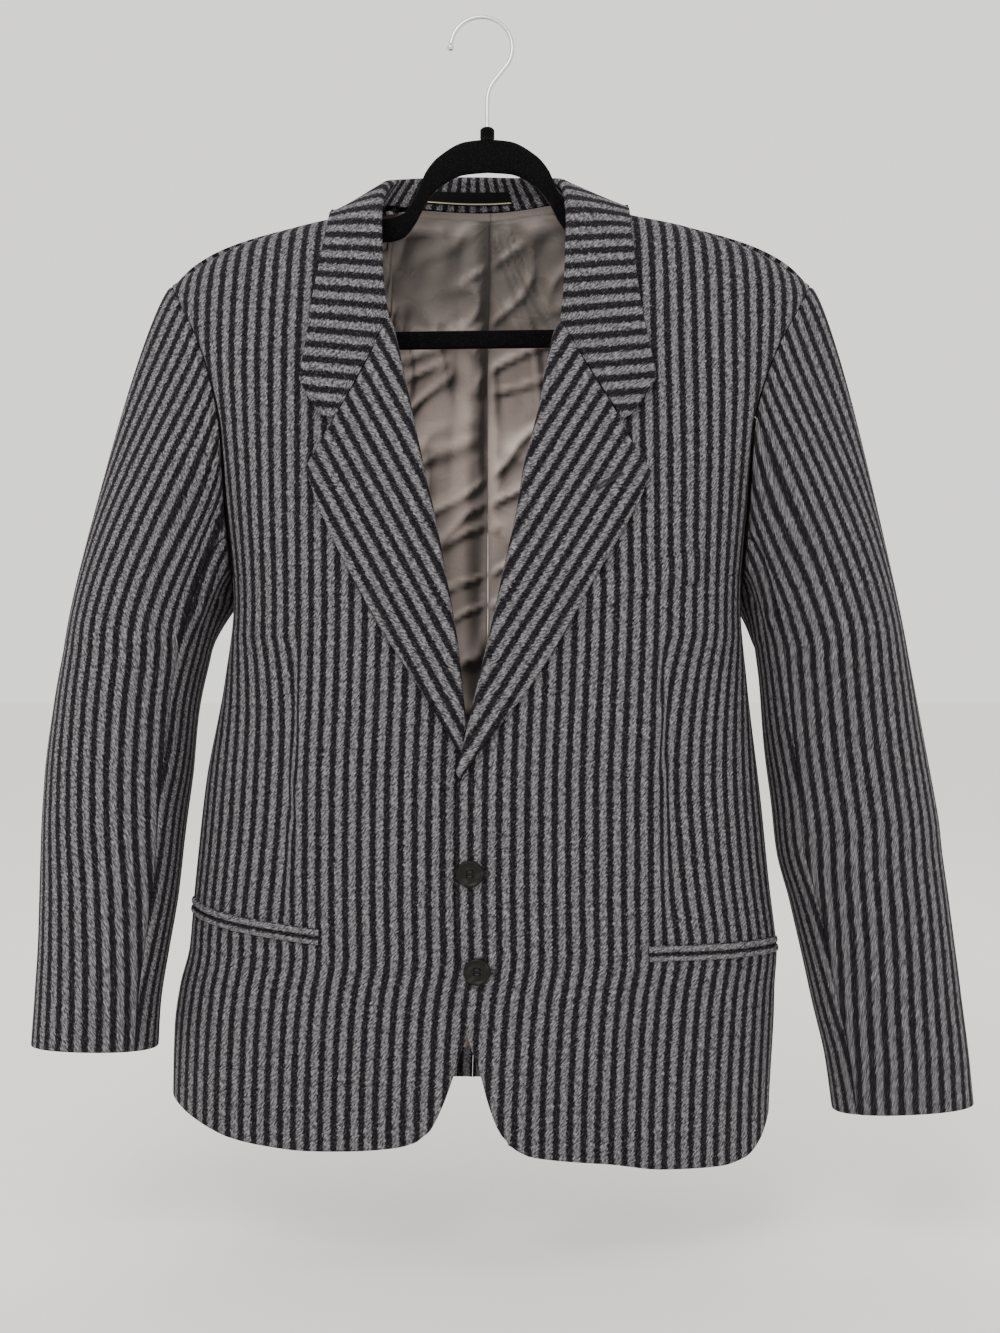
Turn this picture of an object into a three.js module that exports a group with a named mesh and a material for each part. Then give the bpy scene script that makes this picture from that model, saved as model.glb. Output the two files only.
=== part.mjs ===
// A tweed blazer hanging on a flocked hanger, in millimetres.
// X runs to the right as seen from the front, Y runs away from the viewer and Z runs up.
// The origin is the inner top of the hook's wire, where the hanger hangs on a rail.
import * as THREE from "three";

// Thickness of the cloth walls and the gap kept between neighbours
const TWEED = 3;
const FACING = 2.6;
const LINING = 1.2;
const SEAM = 0.3;

// Seams of the body, as angles round a section from the centre front
const FRONT_SEAM = 84;
const BACK_SEAM = 118;
const CENTRE_BACK = 180;

// Heights where the side seams run into the armhole, and the lowest point of the armhole
const ARMHOLE_BASE = -440;
const ARMPIT = -457;

// The middle of the shoulders, the tips of the shoulder seams and the neck
const SHOULDER_MID = 3;
const SHOULDER_TIP = 250;
const NECK_MID = -10;
const NECK_HALF = 78;
const BACK_NECK_Z = -143;
const BACK_NECK_RISE = 85;

// How the chest fills out below the shoulder seam
const CREST_POWER = 1.6;
const CREST_ROUND_NECK = 0.62;
const CREST_ROUND_TIP = 0.46;
const CREST_EDGE = 0.6;

// Sections of the body from the hem up: half width, middle, depth of the front and of the back
// from the side, place of the side, and how square the section is
const BODY = [
  { z: -890, half: 231, mid: -13, front: 74, back: 64, side: -8, square: 2.4 },
  { z: -848, half: 231.5, mid: -12.5, front: 76, back: 62, side: -8, square: 2.4 },
  { z: -784, half: 232.5, mid: -10, front: 80, back: 58, side: -8, square: 2.4 },
  { z: -754, half: 231, mid: -7.5, front: 82, back: 56, side: -7, square: 2.4 },
  { z: -723, half: 228, mid: -3, front: 84, back: 54, side: -6, square: 2.4 },
  { z: -670, half: 222.5, mid: -3.8, front: 86, back: 53, side: -6, square: 2.4 },
  { z: -600, half: 215, mid: -3.6, front: 87, back: 56, side: -5, square: 2.5 },
  { z: -520, half: 203, mid: -1, front: 89, back: 64, side: -3, square: 2.6 },
  { z: -457, half: 197, mid: 0, front: 90, back: 70, side: 0, square: 2.8 },
  { z: -380, half: 205, mid: 0, front: 90, back: 73, side: 0, square: 3.1 },
  { z: -330, half: 213, mid: 0, front: 90, back: 74, side: 0, square: 3.4 },
  { z: -280, half: 230, mid: 0, front: 90, back: 74, side: 0, square: 3.6 },
  { z: -236, half: 252, mid: 1, front: 90, back: 74, side: 0, square: 3.6 },
  { z: -212, half: 268, mid: 2, front: 90, back: 74, side: 0, square: 3.6 },
  { z: -110, half: 290, mid: 3, front: 90, back: 74, side: 0, square: 3.6 },
];

// Height of the shoulder ridge at a distance from the middle of the shoulders
const RIDGE = [
  { out: 0, z: -139 },
  { out: 65, z: -143 },
  { out: 85, z: -147.5 },
  { out: 110, z: -153.5 },
  { out: 136, z: -159 },
  { out: 155, z: -164.5 },
  { out: 175, z: -170.5 },
  { out: 199, z: -179.5 },
  { out: 224, z: -192.5 },
  { out: 243, z: -205.5 },
  { out: 254, z: -212.5 },
  { out: 300, z: -250 },
];

// Armhole seam: distance from the middle at each height
const ARMHOLE = [
  { z: -440, out: 195.2 },
  { z: -420, out: 196.5 },
  { z: -380, out: 199.5 },
  { z: -347, out: 201 },
  { z: -330, out: 202 },
  { z: -314, out: 204.5 },
  { z: -298, out: 208.5 },
  { z: -280, out: 214.5 },
  { z: -267, out: 219.5 },
  { z: -253, out: 226 },
  { z: -236, out: 235.5 },
  { z: -222, out: 243 },
  { z: -209.5, out: 250 },
];

// Front edges from the hem corner up to the neck point. The edge of the wearer's right front
// lies hidden under the other one between its cutaway and the crossing of the lapels.
const EDGE_LEFT = [
  { z: -859, x: 16.5 },
  { z: -850.5, x: 9.3 },
  { z: -829.6, x: 1.2 },
  { z: -807.3, x: -4.7 },
  { z: -799, x: -7.6 },
  { z: -786.5, x: -12 },
  { z: -768, x: -15.7 },
  { z: -745.7, x: -18.6 },
  { z: -716, x: -20.8 },
  { z: -679.5, x: -22.2 },
  { z: -620.7, x: -22.2 },
  { z: -598, x: -21.5 },
  { z: -567, x: -12.8 },
  { z: -522.6, x: -1.9 },
  { z: -462.5, x: 11.3 },
  { z: -395, x: 26 },
  { z: -319.7, x: 41.8 },
  { z: -249.6, x: 58.3 },
  { z: -224, x: 63.5 },
  { z: -195, x: 66.5 },
  { z: -143, x: 68 },
];
const EDGE_RIGHT = [
  { z: -854, x: -45.5 },
  { z: -850.5, x: -41.6 },
  { z: -837, x: -34.2 },
  { z: -809, x: -23.8 },
  { z: -790, x: -17.9 },
  { z: -765, x: -8 },
  { z: -735, x: 1 },
  { z: -690, x: 6.5 },
  { z: -640, x: 5.5 },
  { z: -600, x: -4 },
  { z: -567, x: -12 },
  { z: -533.6, x: -19.9 },
  { z: -485.3, x: -25.7 },
  { z: -444, x: -33.2 },
  { z: -402.6, x: -40.7 },
  { z: -358.5, x: -50.5 },
  { z: -300.5, x: -62.9 },
  { z: -253.7, x: -75 },
  { z: -227.4, x: -81.5 },
  { z: -202, x: -85.5 },
  { z: -146, x: -88 },
];

// Hem height by x on each front, and the hem of the sides and the back
const HEM_LEFT = [
  { x: 16.5, z: -859 },
  { x: 20.3, z: -863.2 },
  { x: 33.6, z: -870 },
  { x: 60, z: -874 },
  { x: 90, z: -876.5 },
  { x: 132, z: -883 },
  { x: 177, z: -884 },
  { x: 197, z: -880 },
  { x: 208, z: -871 },
  { x: 219, z: -850 },
];
const HEM_RIGHT = [
  { x: -244.5, z: -838 },
  { x: -228, z: -847.5 },
  { x: -213, z: -854 },
  { x: -192.6, z: -861.2 },
  { x: -168, z: -865.5 },
  { x: -136.5, z: -867.8 },
  { x: -104, z: -867.1 },
  { x: -67.6, z: -863.5 },
  { x: -52.8, z: -859.4 },
  { x: -45.5, z: -854 },
];
const HEM_BACK = -842;

// The wearer's left front laps over the right one: how far it stands proud near its edge
const LAP = [
  { z: -890, lift: 3.9 },
  { z: -790, lift: 3.9 },
  { z: -700, lift: 4.1 },
  { z: -640, lift: 5.2 },
  { z: -600, lift: 8.4 },
  { z: -530, lift: 8.6 },
  { z: -490, lift: 4 },
  { z: -430, lift: 0 },
  { z: -100, lift: 0 },
];
const LAP_IN = 12;
const LAP_OUT = 72;

// Sleeves from the upper arm to the cuff: outer and inner edge seen from the front, middle and
// half of the depth. Distances are from X = 0 outwards.
const SLEEVE_LEFT = [
  { z: -490, outer: 325, inner: 209.5, y: -6, deep: 66 },
  { z: -540, outer: 334.4, inner: 214.5, y: -8, deep: 62 },
  { z: -600, outer: 345.3, inner: 219.4, y: -10, deep: 58 },
  { z: -640, outer: 351.6, inner: 222.6, y: -12, deep: 56 },
  { z: -680, outer: 356, inner: 233, y: -15, deep: 53 },
  { z: -720, outer: 359.9, inner: 241.6, y: -19, deep: 50 },
  { z: -760, outer: 363.9, inner: 249.5, y: -24, deep: 46 },
  { z: -800, outer: 367.7, inner: 258.4, y: -29, deep: 42 },
  { z: -844, outer: 371.2, inner: 264.4, y: -34, deep: 38 },
];
const SLEEVE_RIGHT = [
  { z: -490, outer: 326.5, inner: 217, y: -6, deep: 66 },
  { z: -540, outer: 335.3, inner: 225.4, y: -8, deep: 62 },
  { z: -600, outer: 342.4, inner: 232.4, y: -11, deep: 58 },
  { z: -640, outer: 343.4, inner: 235, y: -16, deep: 55 },
  { z: -680, outer: 343.4, inner: 238.4, y: -22, deep: 51 },
  { z: -720, outer: 343, inner: 243.8, y: -29, deep: 48 },
  { z: -760, outer: 344, inner: 248.6, y: -36, deep: 44 },
  { z: -796, outer: 345.6, inner: 250.4, y: -41, deep: 41 },
];
const SLEEVE_SQUARE = 2.2;
const SLEEVE_GAP = 0.5;
const UNDERARM_GAP = 2;
const SLEEVE_TOP = -490;
// Share of the armhole ring taken by the front edge and by the scoop under the arm
const RING_FRONT = 0.42;
const RING_SIDE = 0.16;
const FOREARM_SEAM = 10;
const HINDARM_SEAM = 20;

// Lapels from the gorge down to the break: roll edge and outer edge
const LAPEL_LEFT = [
  { rx: 54.7, rz: -250.9, ex: 99.7, ez: -326.2, corner: 0 },
  { rx: 51.6, rz: -256, ex: 104, ez: -337, corner: 0 },
  { rx: 49, rz: -264, ex: 113, ez: -351, corner: 0 },
  { rx: 46.5, rz: -275, ex: 121, ez: -364, corner: 1 },
  { rx: 42, rz: -298, ex: 115, ez: -380, corner: 0 },
  { rx: 38.3, rz: -319.7, ex: 107.3, ez: -395.2, corner: 0 },
  { rx: 28.5, rz: -358.5, ex: 92.4, ez: -421.2, corner: 0 },
  { rx: 22.5, rz: -395.2, ex: 73.1, ez: -453.7, corner: 0 },
  { rx: 13.5, rz: -437, ex: 54.7, ez: -487.5, corner: 0 },
  { rx: 4.5, rz: -480, ex: 35.6, ez: -516.8, corner: 0 },
  { rx: -5.4, rz: -522.6, ex: 13, ez: -547, corner: 0 },
  { rx: -13.8, rz: -556, ex: -5, ez: -570, corner: 0 },
  { rx: -21.5, rz: -586, ex: -18.5, ez: -590, corner: 0 },
];
const LAPEL_RIGHT = [
  { rx: -72.8, rz: -247, ex: -110.6, ez: -325, corner: 0 },
  { rx: -70.5, rz: -252, ex: -118, ez: -334, corner: 0 },
  { rx: -68.4, rz: -260, ex: -127, ez: -350, corner: 0 },
  { rx: -66, rz: -270, ex: -133.5, ez: -361.5, corner: 1 },
  { rx: -61.5, rz: -291, ex: -125, ez: -386, corner: 0 },
  { rx: -57, rz: -311, ex: -114.4, ez: -410.1, corner: 0 },
  { rx: -47, rz: -358.5, ex: -95.7, ez: -447.8, corner: 0 },
  { rx: -37.2, rz: -402.6, ex: -76.5, ez: -481.6, corner: 0 },
  { rx: -29.7, rz: -444.1, ex: -58.1, ez: -509.5, corner: 0 },
  { rx: -22.2, rz: -485.3, ex: -39.1, ez: -539.5, corner: 0 },
  { rx: -17, rz: -528, ex: -24.4, ez: -563.6, corner: 0 },
  { rx: -14, rz: -558, ex: -17.5, ez: -577, corner: 0 },
];
const LAPEL_GAP = 2.1;
const LAPEL_ROLL = 4.5;

// Collar from the wearer's right gorge round the back to the left gorge: top of the fold,
// neck seam and outer edge. Between the rows of the two shoulders it lies over the back.
const COLLAR = [
  { fx: -73.4, fy: -60, fz: -246.2, sx: -77.6, sz: -245, ex: -111.6, ez: -323.3, corner: 0 },
  { fx: -75.5, fy: -59, fz: -238, sx: -80, sz: -237, ex: -120, ez: -323.4, corner: 0 },
  { fx: -76.8, fy: -57.5, fz: -231, sx: -81.5, sz: -230, ex: -128.5, ez: -314.5, corner: 0 },
  { fx: -78.2, fy: -56, fz: -223, sx: -83, sz: -222, ex: -139.6, ez: -294, corner: 1 },
  { fx: -79.8, fy: -52, fz: -208, sx: -85, sz: -207, ex: -135.2, ez: -262.5, corner: 0 },
  { fx: -81, fy: -47, fz: -194, sx: -86, sz: -192, ex: -132, ez: -232, corner: 0 },
  { fx: -82, fy: -41, fz: -177, sx: -87, sz: -178, ex: -127.2, ez: -200, corner: 0 },
  { fx: -82.5, fy: -27, fz: -153, sx: -87.8, sz: -162, ex: -123.5, ez: -172, corner: 0 },
  { fx: -79, fy: 2, fz: -127.5, sx: -88, sz: -147.4, ex: -120, ez: -154, corner: 0 },
  { fx: -64, fy: 28, fz: -118, sx: -74, sz: -144.2, ex: -108, ez: -176, corner: 0 },
  { fx: -40, fy: 40, fz: -113.5, sx: -46, sz: -142.2, ex: -68, ez: -187, corner: 0 },
  { fx: -11, fy: 44, fz: -112, sx: -11, sz: -142.4, ex: -11, ez: -190, corner: 0 },
  { fx: 18, fy: 40, fz: -113.5, sx: 25, sz: -142.2, ex: 48, ez: -187, corner: 0 },
  { fx: 42, fy: 28, fz: -117, sx: 54, sz: -141.8, ex: 95, ez: -168, corner: 0 },
  { fx: 58, fy: 2, fz: -126, sx: 68, sz: -142.6, ex: 108.5, ez: -152.4, corner: 0 },
  { fx: 61.8, fy: -27, fz: -151, sx: 67.8, sz: -160, ex: 110.5, ez: -171.5, corner: 0 },
  { fx: 62, fy: -41, fz: -175, sx: 67.2, sz: -176, ex: 112.5, ez: -199, corner: 0 },
  { fx: 61, fy: -47.5, fz: -193, sx: 66.2, sz: -191, ex: 115.6, ez: -229, corner: 0 },
  { fx: 60, fy: -52, fz: -208, sx: 65, sz: -207, ex: 120, ez: -258, corner: 0 },
  { fx: 58.8, fy: -56, fz: -223, sx: 63.4, sz: -222, ex: 127, ez: -293, corner: 1 },
  { fx: 57.6, fy: -58, fz: -233, sx: 62, sz: -232, ex: 117, ez: -308, corner: 0 },
  { fx: 56.4, fy: -60, fz: -241.5, sx: 60.6, sz: -240.5, ex: 108, ez: -320.5, corner: 0 },
  { fx: 55.4, fy: -61, fz: -249.8, sx: 59.3, sz: -248.6, ex: 100.5, ez: -324.9, corner: 0 },
];
const COLLAR_SHOULDERS = [8, 14];
const COLLAR_WALL = 2.3;
const COLLAR_SEAT = 0.9;
const COLLAR_FOLD = 3.9;
const COLLAR_OFF = 5.8;

// Hip pockets: the mouth runs from its inner end to its outer end, given as angles round the body
const HIP_POCKETS = [
  { side: "right", from: { t: 30.5, z: -707.5 }, to: { t: 76, z: -690.5 } },
  { side: "left", from: { t: 31, z: -720 }, to: { t: 76, z: -720.5 } },
];
const JET_HEIGHT = 6;
const JET_THICK = 1.5;

// Breast welt on the wearer's left: top edge from its inner end to its outer end
const WELT = { x0: 64, z0: -444.5, x1: 161, z1: -419.6, height: 25, thick: 1.5 };

// Front buttons, by height
const BUTTONS = [
  { name: "button_upper", x: -11.9, z: -659 },
  { name: "button_lower", x: -6.8, z: -731 },
];
const BUTTON = { radius: 10, thick: 3.6, rim: 2.2, dish: 0.9 };

// Label, a bare strip inside the collar stand
const LABEL = { left: -48, right: 14, low: -137, high: -126, thick: 0.8 };

// Back lining: its lower edge, the width of the centre pleat and its rise
const LINING_HEM = -815;
const PLEAT = { half: 14, rise: 3, x: -9 };

// Hanger: height and lower edge of the arms by distance from the hook
const HANGER = [
  { x: 0, top: -94.4, low: -120.5 },
  { x: 18, top: -96.5, low: -122 },
  { x: 38, top: -107.5, low: -132 },
  { x: 48, top: -119, low: -144 },
  { x: 57, top: -140, low: -161 },
  { x: 66, top: -152, low: -171 },
  { x: 78, top: -155.5, low: -174 },
  { x: 98, top: -156.7, low: -174 },
  { x: 112, top: -159.5, low: -176.5 },
  { x: 130, top: -162.8, low: -179.4 },
  { x: 165, top: -171.5, low: -187.5 },
  { x: 195, top: -181.5, low: -195.3 },
  { x: 214, top: -190.1, low: -201 },
];
const HANGER_HALF = 3.2;
const HANGER_TILT = 0.0135;
const BAR = { z: -251.5, half: 160, high: 14, deep: 6, bend: 34, up: -198.2 };
const HOOK = { radius: 24.2, wire: 1.7, x: -4.5, low: -85.3, start: 172, end: -28 };
const BOSS = { radius: 5.6, low: -94, high: -85.6 };

const rad = THREE.MathUtils.degToRad;
const clamp = THREE.MathUtils.clamp;
const lerp = THREE.MathUtils.lerp;
const vec = (x, y, z) => new THREE.Vector3(x, y, z);
const signOf = { left: 1, right: -1 };

// Value of a column at a key, with a smooth curve that doesn't overshoot between the rows
function read(rows, key, column, at) {
  const last = rows.length - 1;
  if (at <= rows[0][key]) return rows[0][column];
  if (at >= rows[last][key]) return rows[last][column];
  let i = 0;
  while (at > rows[i + 1][key]) i += 1;
  const slope = (a) => (rows[a + 1][column] - rows[a][column]) / (rows[a + 1][key] - rows[a][key]);
  const tangent = (a) => {
    if (a === 0) return slope(0);
    if (a === last) return slope(last - 1);
    const before = slope(a - 1);
    const after = slope(a);
    return before * after <= 0 ? 0 : (2 * before * after) / (before + after);
  };
  const width = rows[i + 1][key] - rows[i][key];
  const u = (at - rows[i][key]) / width;
  const u2 = u * u;
  const u3 = u2 * u;
  return (
    (2 * u3 - 3 * u2 + 1) * rows[i][column] +
    (u3 - 2 * u2 + u) * width * tangent(i) +
    (3 * u2 - 2 * u3) * rows[i + 1][column] +
    (u3 - u2) * width * tangent(i + 1)
  );
}

// Value of a column along the rows by row number, stopping at corners
function follow(rows, at, column) {
  const last = rows.length - 1;
  const i = clamp(Math.floor(at), 0, last - 1);
  const u = at - i;
  const tangent = (a) => {
    if (rows[a].corner) return 0;
    return (rows[Math.min(a + 1, last)][column] - rows[Math.max(a - 1, 0)][column]) / 2;
  };
  const u2 = u * u;
  const u3 = u2 * u;
  return (
    (2 * u3 - 3 * u2 + 1) * rows[i][column] +
    (u3 - 2 * u2 + u) * tangent(i) +
    (3 * u2 - 2 * u3) * rows[i + 1][column] +
    (u3 - u2) * tangent(i + 1)
  );
}

function smooth(from, to, at) {
  const u = clamp((at - from) / (to - from), 0, 1);
  return u * u * (3 - 2 * u);
}

const section = (z, column) => read(BODY, "z", column, z);

function ridge(x, back) {
  const z = read(RIDGE, "out", "z", Math.abs(x - SHOULDER_MID));
  if (!back) return z;
  const near = clamp(1 - ((x - NECK_MID) / NECK_HALF) ** 2, 0, 1);
  return z + BACK_NECK_RISE * near * near;
}

// How much of the chest's depth is left at a height, from 1 at the armpit to 0 on the ridge
function crest(x, z, back) {
  const up = clamp((z - ARMPIT) / (ridge(x, back) - ARMPIT), 0, 1);
  const round = lerp(CREST_ROUND_NECK, CREST_ROUND_TIP, smooth(100, 230, Math.abs(x - SHOULDER_MID)));
  return (1 - up ** CREST_POWER) ** round;
}

// A point of the body's outside, at an angle from the centre front and a height
function bodyAt(t, z) {
  const s = Math.sin(rad(t));
  const c = Math.cos(rad(t));
  const n = section(z, "square");
  const k = (Math.abs(s) ** n + Math.abs(c) ** n) ** (-1 / n);
  const x = section(z, "mid") + section(z, "half") * k * s;
  const back = c < 0;
  const deep = section(z, back ? "back" : "front");
  return vec(x, section(z, "side") - deep * k * c * crest(x, z, back), z);
}

// The angle at which the front or the back of the section has a given x
function angleOf(x, z, face) {
  const n = section(z, "square");
  const out = clamp(Math.abs(x - section(z, "mid")) / section(z, "half"), 1e-6, 0.99999);
  const t = THREE.MathUtils.radToDeg(Math.atan((1 / out ** n - 1) ** (-1 / n)));
  const side = Math.sign(x - section(z, "mid")) || 1;
  return face < 0 ? side * t : side * (CENTRE_BACK - t);
}

function normalOf(map, u, v, du, dv) {
  const a = map(u + du, v).sub(map(u - du, v));
  const b = map(u, v + dv).sub(map(u, v - dv));
  return a.cross(b).normalize();
}

const bodyNormal = (t, z) => normalOf(bodyAt, t, z, 0.2, 0.4);

// How far the wearer's left front stands proud of the section
function lap(side, x, z) {
  if (side !== "left") return 0;
  return read(LAP, "z", "lift", z) * (1 - smooth(LAP_IN, LAP_OUT, x));
}

// The outside of a front at an angle and height, and its normal
function frontAt(side, t, z) {
  const p = bodyAt(t, z);
  p.y -= lap(side, p.x, z);
  return p;
}
const frontNormal = (side, t, z) => normalOf((a, b) => frontAt(side, a, b), t, z, 0.2, 0.4);

// A point over a front or over the back, by x and height, moved out by a distance
function overFront(side, x, height, off) {
  const z = Math.min(height, ridge(x, false) - CREST_EDGE);
  const t = angleOf(x, z, -1);
  return frontAt(side, t, z).addScaledVector(frontNormal(side, t, z), off);
}
function overBack(x, height, off) {
  const z = Math.min(height, ridge(x, true) - CREST_EDGE);
  const t = angleOf(x, z, 1);
  return bodyAt(t, z).addScaledVector(bodyNormal(t, z), off);
}

// A closed wall from a grid of outer points and the matching normals
function wallOf(name, grid, normals, thick, material) {
  const rows = grid.length;
  const cols = grid[0].length;
  const positions = [];
  const faces = [];
  for (let i = 0; i < rows; i += 1) {
    for (let j = 0; j < cols; j += 1) positions.push(...grid[i][j].toArray());
  }
  for (let i = 0; i < rows; i += 1) {
    for (let j = 0; j < cols; j += 1) {
      positions.push(...grid[i][j].clone().addScaledVector(normals[i][j], -thick).toArray());
    }
  }
  const outer = (i, j) => i * cols + j;
  const inner = (i, j) => rows * cols + i * cols + j;
  const quad = (a, b, c, d) => faces.push(a, b, c, a, c, d);
  for (let i = 0; i + 1 < rows; i += 1) {
    for (let j = 0; j + 1 < cols; j += 1) {
      quad(outer(i, j), outer(i, j + 1), outer(i + 1, j + 1), outer(i + 1, j));
      quad(inner(i, j), inner(i + 1, j), inner(i + 1, j + 1), inner(i, j + 1));
    }
  }
  for (let i = 0; i + 1 < rows; i += 1) {
    quad(outer(i, 0), outer(i + 1, 0), inner(i + 1, 0), inner(i, 0));
    quad(outer(i + 1, cols - 1), outer(i, cols - 1), inner(i, cols - 1), inner(i + 1, cols - 1));
  }
  for (let j = 0; j + 1 < cols; j += 1) {
    quad(outer(0, j + 1), outer(0, j), inner(0, j), inner(0, j + 1));
    quad(outer(rows - 1, j), outer(rows - 1, j + 1), inner(rows - 1, j + 1), inner(rows - 1, j));
  }
  return meshOf(name, positions, faces, material);
}

// A mesh from points and faces, turned right side out
function meshOf(name, positions, faces, material) {
  const at = (i) => vec(positions[3 * i], positions[3 * i + 1], positions[3 * i + 2]);
  let volume = 0;
  for (let i = 0; i < faces.length; i += 3) {
    volume += at(faces[i]).dot(at(faces[i + 1]).cross(at(faces[i + 2])));
  }
  if (volume < 0) faces.reverse();
  const geometry = new THREE.BufferGeometry();
  geometry.setAttribute("position", new THREE.Float32BufferAttribute(positions, 3));
  geometry.setIndex(faces);
  geometry.computeVertexNormals();
  const mesh = new THREE.Mesh(geometry, material);
  mesh.name = name;
  return mesh;
}

function gridOf(rows, cols, at) {
  return Array.from({ length: rows + 1 }, (_, i) =>
    Array.from({ length: cols + 1 }, (_, j) => at(i / rows, j / cols, i, j)),
  );
}

// Rows of a panel: below the armhole they are even, above it they close up towards the ridge
const LOW_ROWS = 10;
const HIGH_ROWS = 11;
const rise = (s) => 1 - (1 - s) ** 1.5;

function armholeX(side, z) {
  const mid = lerp(0, SHOULDER_MID, smooth(-330, -215, z));
  return mid + signOf[side] * read(ARMHOLE, "z", "out", z);
}

const hemOf = (side, x) => read(side === "left" ? HEM_LEFT : HEM_RIGHT, "x", "z", x);
const edgeOf = (side, z) => read(side === "left" ? EDGE_LEFT : EDGE_RIGHT, "z", "x", z);
const tipX = (side) => SHOULDER_MID + signOf[side] * SHOULDER_TIP;
const tipZ = (side) => ridge(tipX(side), false);

// The ridge is a fold of the map, so its normal has no part along Y
function crestNormal(x) {
  const slope = (ridge(x + 1, false) - ridge(x - 1, false)) / 2;
  return vec(-slope, 0, 1).normalize();
}

// Half a seam's gap, as an angle at the side of the body
const HALF_SEAM = 0.16;
function seamAngle(t, z, away) {
  const step = bodyAt(t + 0.1, z).distanceTo(bodyAt(t - 0.1, z)) / 0.2;
  return t + (away * HALF_SEAM) / step;
}

function frontPanel(side, material) {
  const s = signOf[side];
  const edgeRows = side === "left" ? EDGE_LEFT : EDGE_RIGHT;
  const cornerZ = edgeRows[0].z;
  const neckZ = edgeRows[edgeRows.length - 1].z - 0.4;
  const sideHem = hemOf(side, bodyAt(s * FRONT_SEAM, HEM_BACK).x);
  const levels = (share, i) => {
    const hemTurn = lerp(angleOf(edgeRows[0].x, cornerZ, -1), seamAngle(s * FRONT_SEAM, sideHem, -s), share);
    const hemX = bodyAt(hemTurn, lerp(cornerZ, sideHem, share)).x;
    const hem = share === 0 ? cornerZ : share === 1 ? sideHem : hemOf(side, hemX);
    if (i <= LOW_ROWS) return lerp(hem, ARMHOLE_BASE, i / LOW_ROWS);
    const topX = lerp(edgeRows[edgeRows.length - 1].x, tipX(side), share);
    const top = share === 0 ? neckZ : ridge(topX, false) - 0.05;
    return lerp(ARMHOLE_BASE, top, rise((i - LOW_ROWS) / HIGH_ROWS));
  };
  const outerAngle = (z) => {
    if (z <= ARMHOLE_BASE) return seamAngle(s * FRONT_SEAM, z, -s);
    return angleOf(armholeX(side, z) - s * 0.05, z, -1);
  };
  const rows = LOW_ROWS + HIGH_ROWS;
  const cols = 11;
  const normals = [];
  const grid = gridOf(rows, cols, (_, share, i) => {
    const even = share ** 0.92;
    const z = levels(even, i);
    const t = lerp(angleOf(edgeOf(side, z), z, -1), outerAngle(z), even);
    const p = frontAt(side, t, z);
    const n = frontNormal(side, t, z);
    normals[i] ??= [];
    if (i === rows) {
      normals[i].push(crestNormal(p.x));
      p.y = section(z, "side") - HALF_SEAM - (even < 0.25 ? lap(side, p.x, z) : 0);
    } else {
      normals[i].push(n);
    }
    return p;
  });
  return wallOf("front_" + side, grid, normals, TWEED, material);
}

function scoop(t) {
  const u = (Math.abs(t) - FRONT_SEAM) / (BACK_SEAM - FRONT_SEAM);
  return ARMHOLE_BASE + (ARMPIT - ARMHOLE_BASE) * Math.sin(Math.PI * clamp(u, 0, 1));
}

const SIDE_COLS = 4;
function sidePanel(side, material) {
  const s = signOf[side];
  const frontHem = hemOf(side, bodyAt(s * FRONT_SEAM, HEM_BACK).x);
  const normals = [];
  const grid = gridOf(LOW_ROWS, SIDE_COLS, (up, share, i, j) => {
    const t0 = lerp(FRONT_SEAM, BACK_SEAM, share);
    const hem = lerp(frontHem, HEM_BACK, share);
    const z = lerp(hem, scoop(t0), up);
    let t = s * t0;
    if (j === 0) t = seamAngle(s * FRONT_SEAM, z, s);
    if (j === SIDE_COLS) t = seamAngle(s * BACK_SEAM, z, -s);
    normals[i] ??= [];
    normals[i].push(bodyNormal(t, z));
    return bodyAt(t, z);
  });
  return wallOf("side_" + side, grid, normals, TWEED, material);
}

function backNeckZ(x) {
  const near = clamp(1 - ((x - NECK_MID) / NECK_HALF) ** 2, 0, 1);
  return lerp(ridge(x, false), BACK_NECK_Z, near);
}

const BACK_SHOULDER_COLS = 7;
const BACK_NECK_COLS = 3;
function backPanel(side, material) {
  const s = signOf[side];
  const cols = BACK_SHOULDER_COLS + BACK_NECK_COLS;
  const rows = LOW_ROWS + HIGH_ROWS;
  const neckX = NECK_MID + s * NECK_HALF;
  const topX = (j) => {
    if (j <= BACK_SHOULDER_COLS) return lerp(tipX(side), neckX, j / BACK_SHOULDER_COLS);
    return lerp(neckX, NECK_MID, (j - BACK_SHOULDER_COLS) / BACK_NECK_COLS);
  };
  const normals = [];
  const grid = gridOf(rows, cols, (_, __, i, j) => {
    const top = topX(j);
    const topZ = j <= BACK_SHOULDER_COLS ? ridge(top, false) - 0.05 : backNeckZ(top);
    const up = i <= LOW_ROWS ? 0 : rise((i - LOW_ROWS) / HIGH_ROWS);
    const z = i <= LOW_ROWS ? lerp(HEM_BACK, ARMHOLE_BASE, i / LOW_ROWS) : lerp(ARMHOLE_BASE, topZ, up);
    const outer = z <= ARMHOLE_BASE ? seamAngle(s * BACK_SEAM, z, s) : angleOf(armholeX(side, z), z, 1);
    const centre = s * CENTRE_BACK - s * 0.06;
    const share = (top - tipX(side)) / (NECK_MID - tipX(side));
    const t = lerp(outer, centre, share ** 0.92);
    const p = bodyAt(t, z);
    const n = bodyNormal(t, z);
    normals[i] ??= [];
    if (i === rows && j <= BACK_SHOULDER_COLS) {
      normals[i].push(crestNormal(p.x));
      p.y = section(z, "side") + HALF_SEAM;
    } else {
      normals[i].push(n);
    }
    return p;
  });
  return wallOf("back_" + side, grid, normals, TWEED, material);
}

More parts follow.
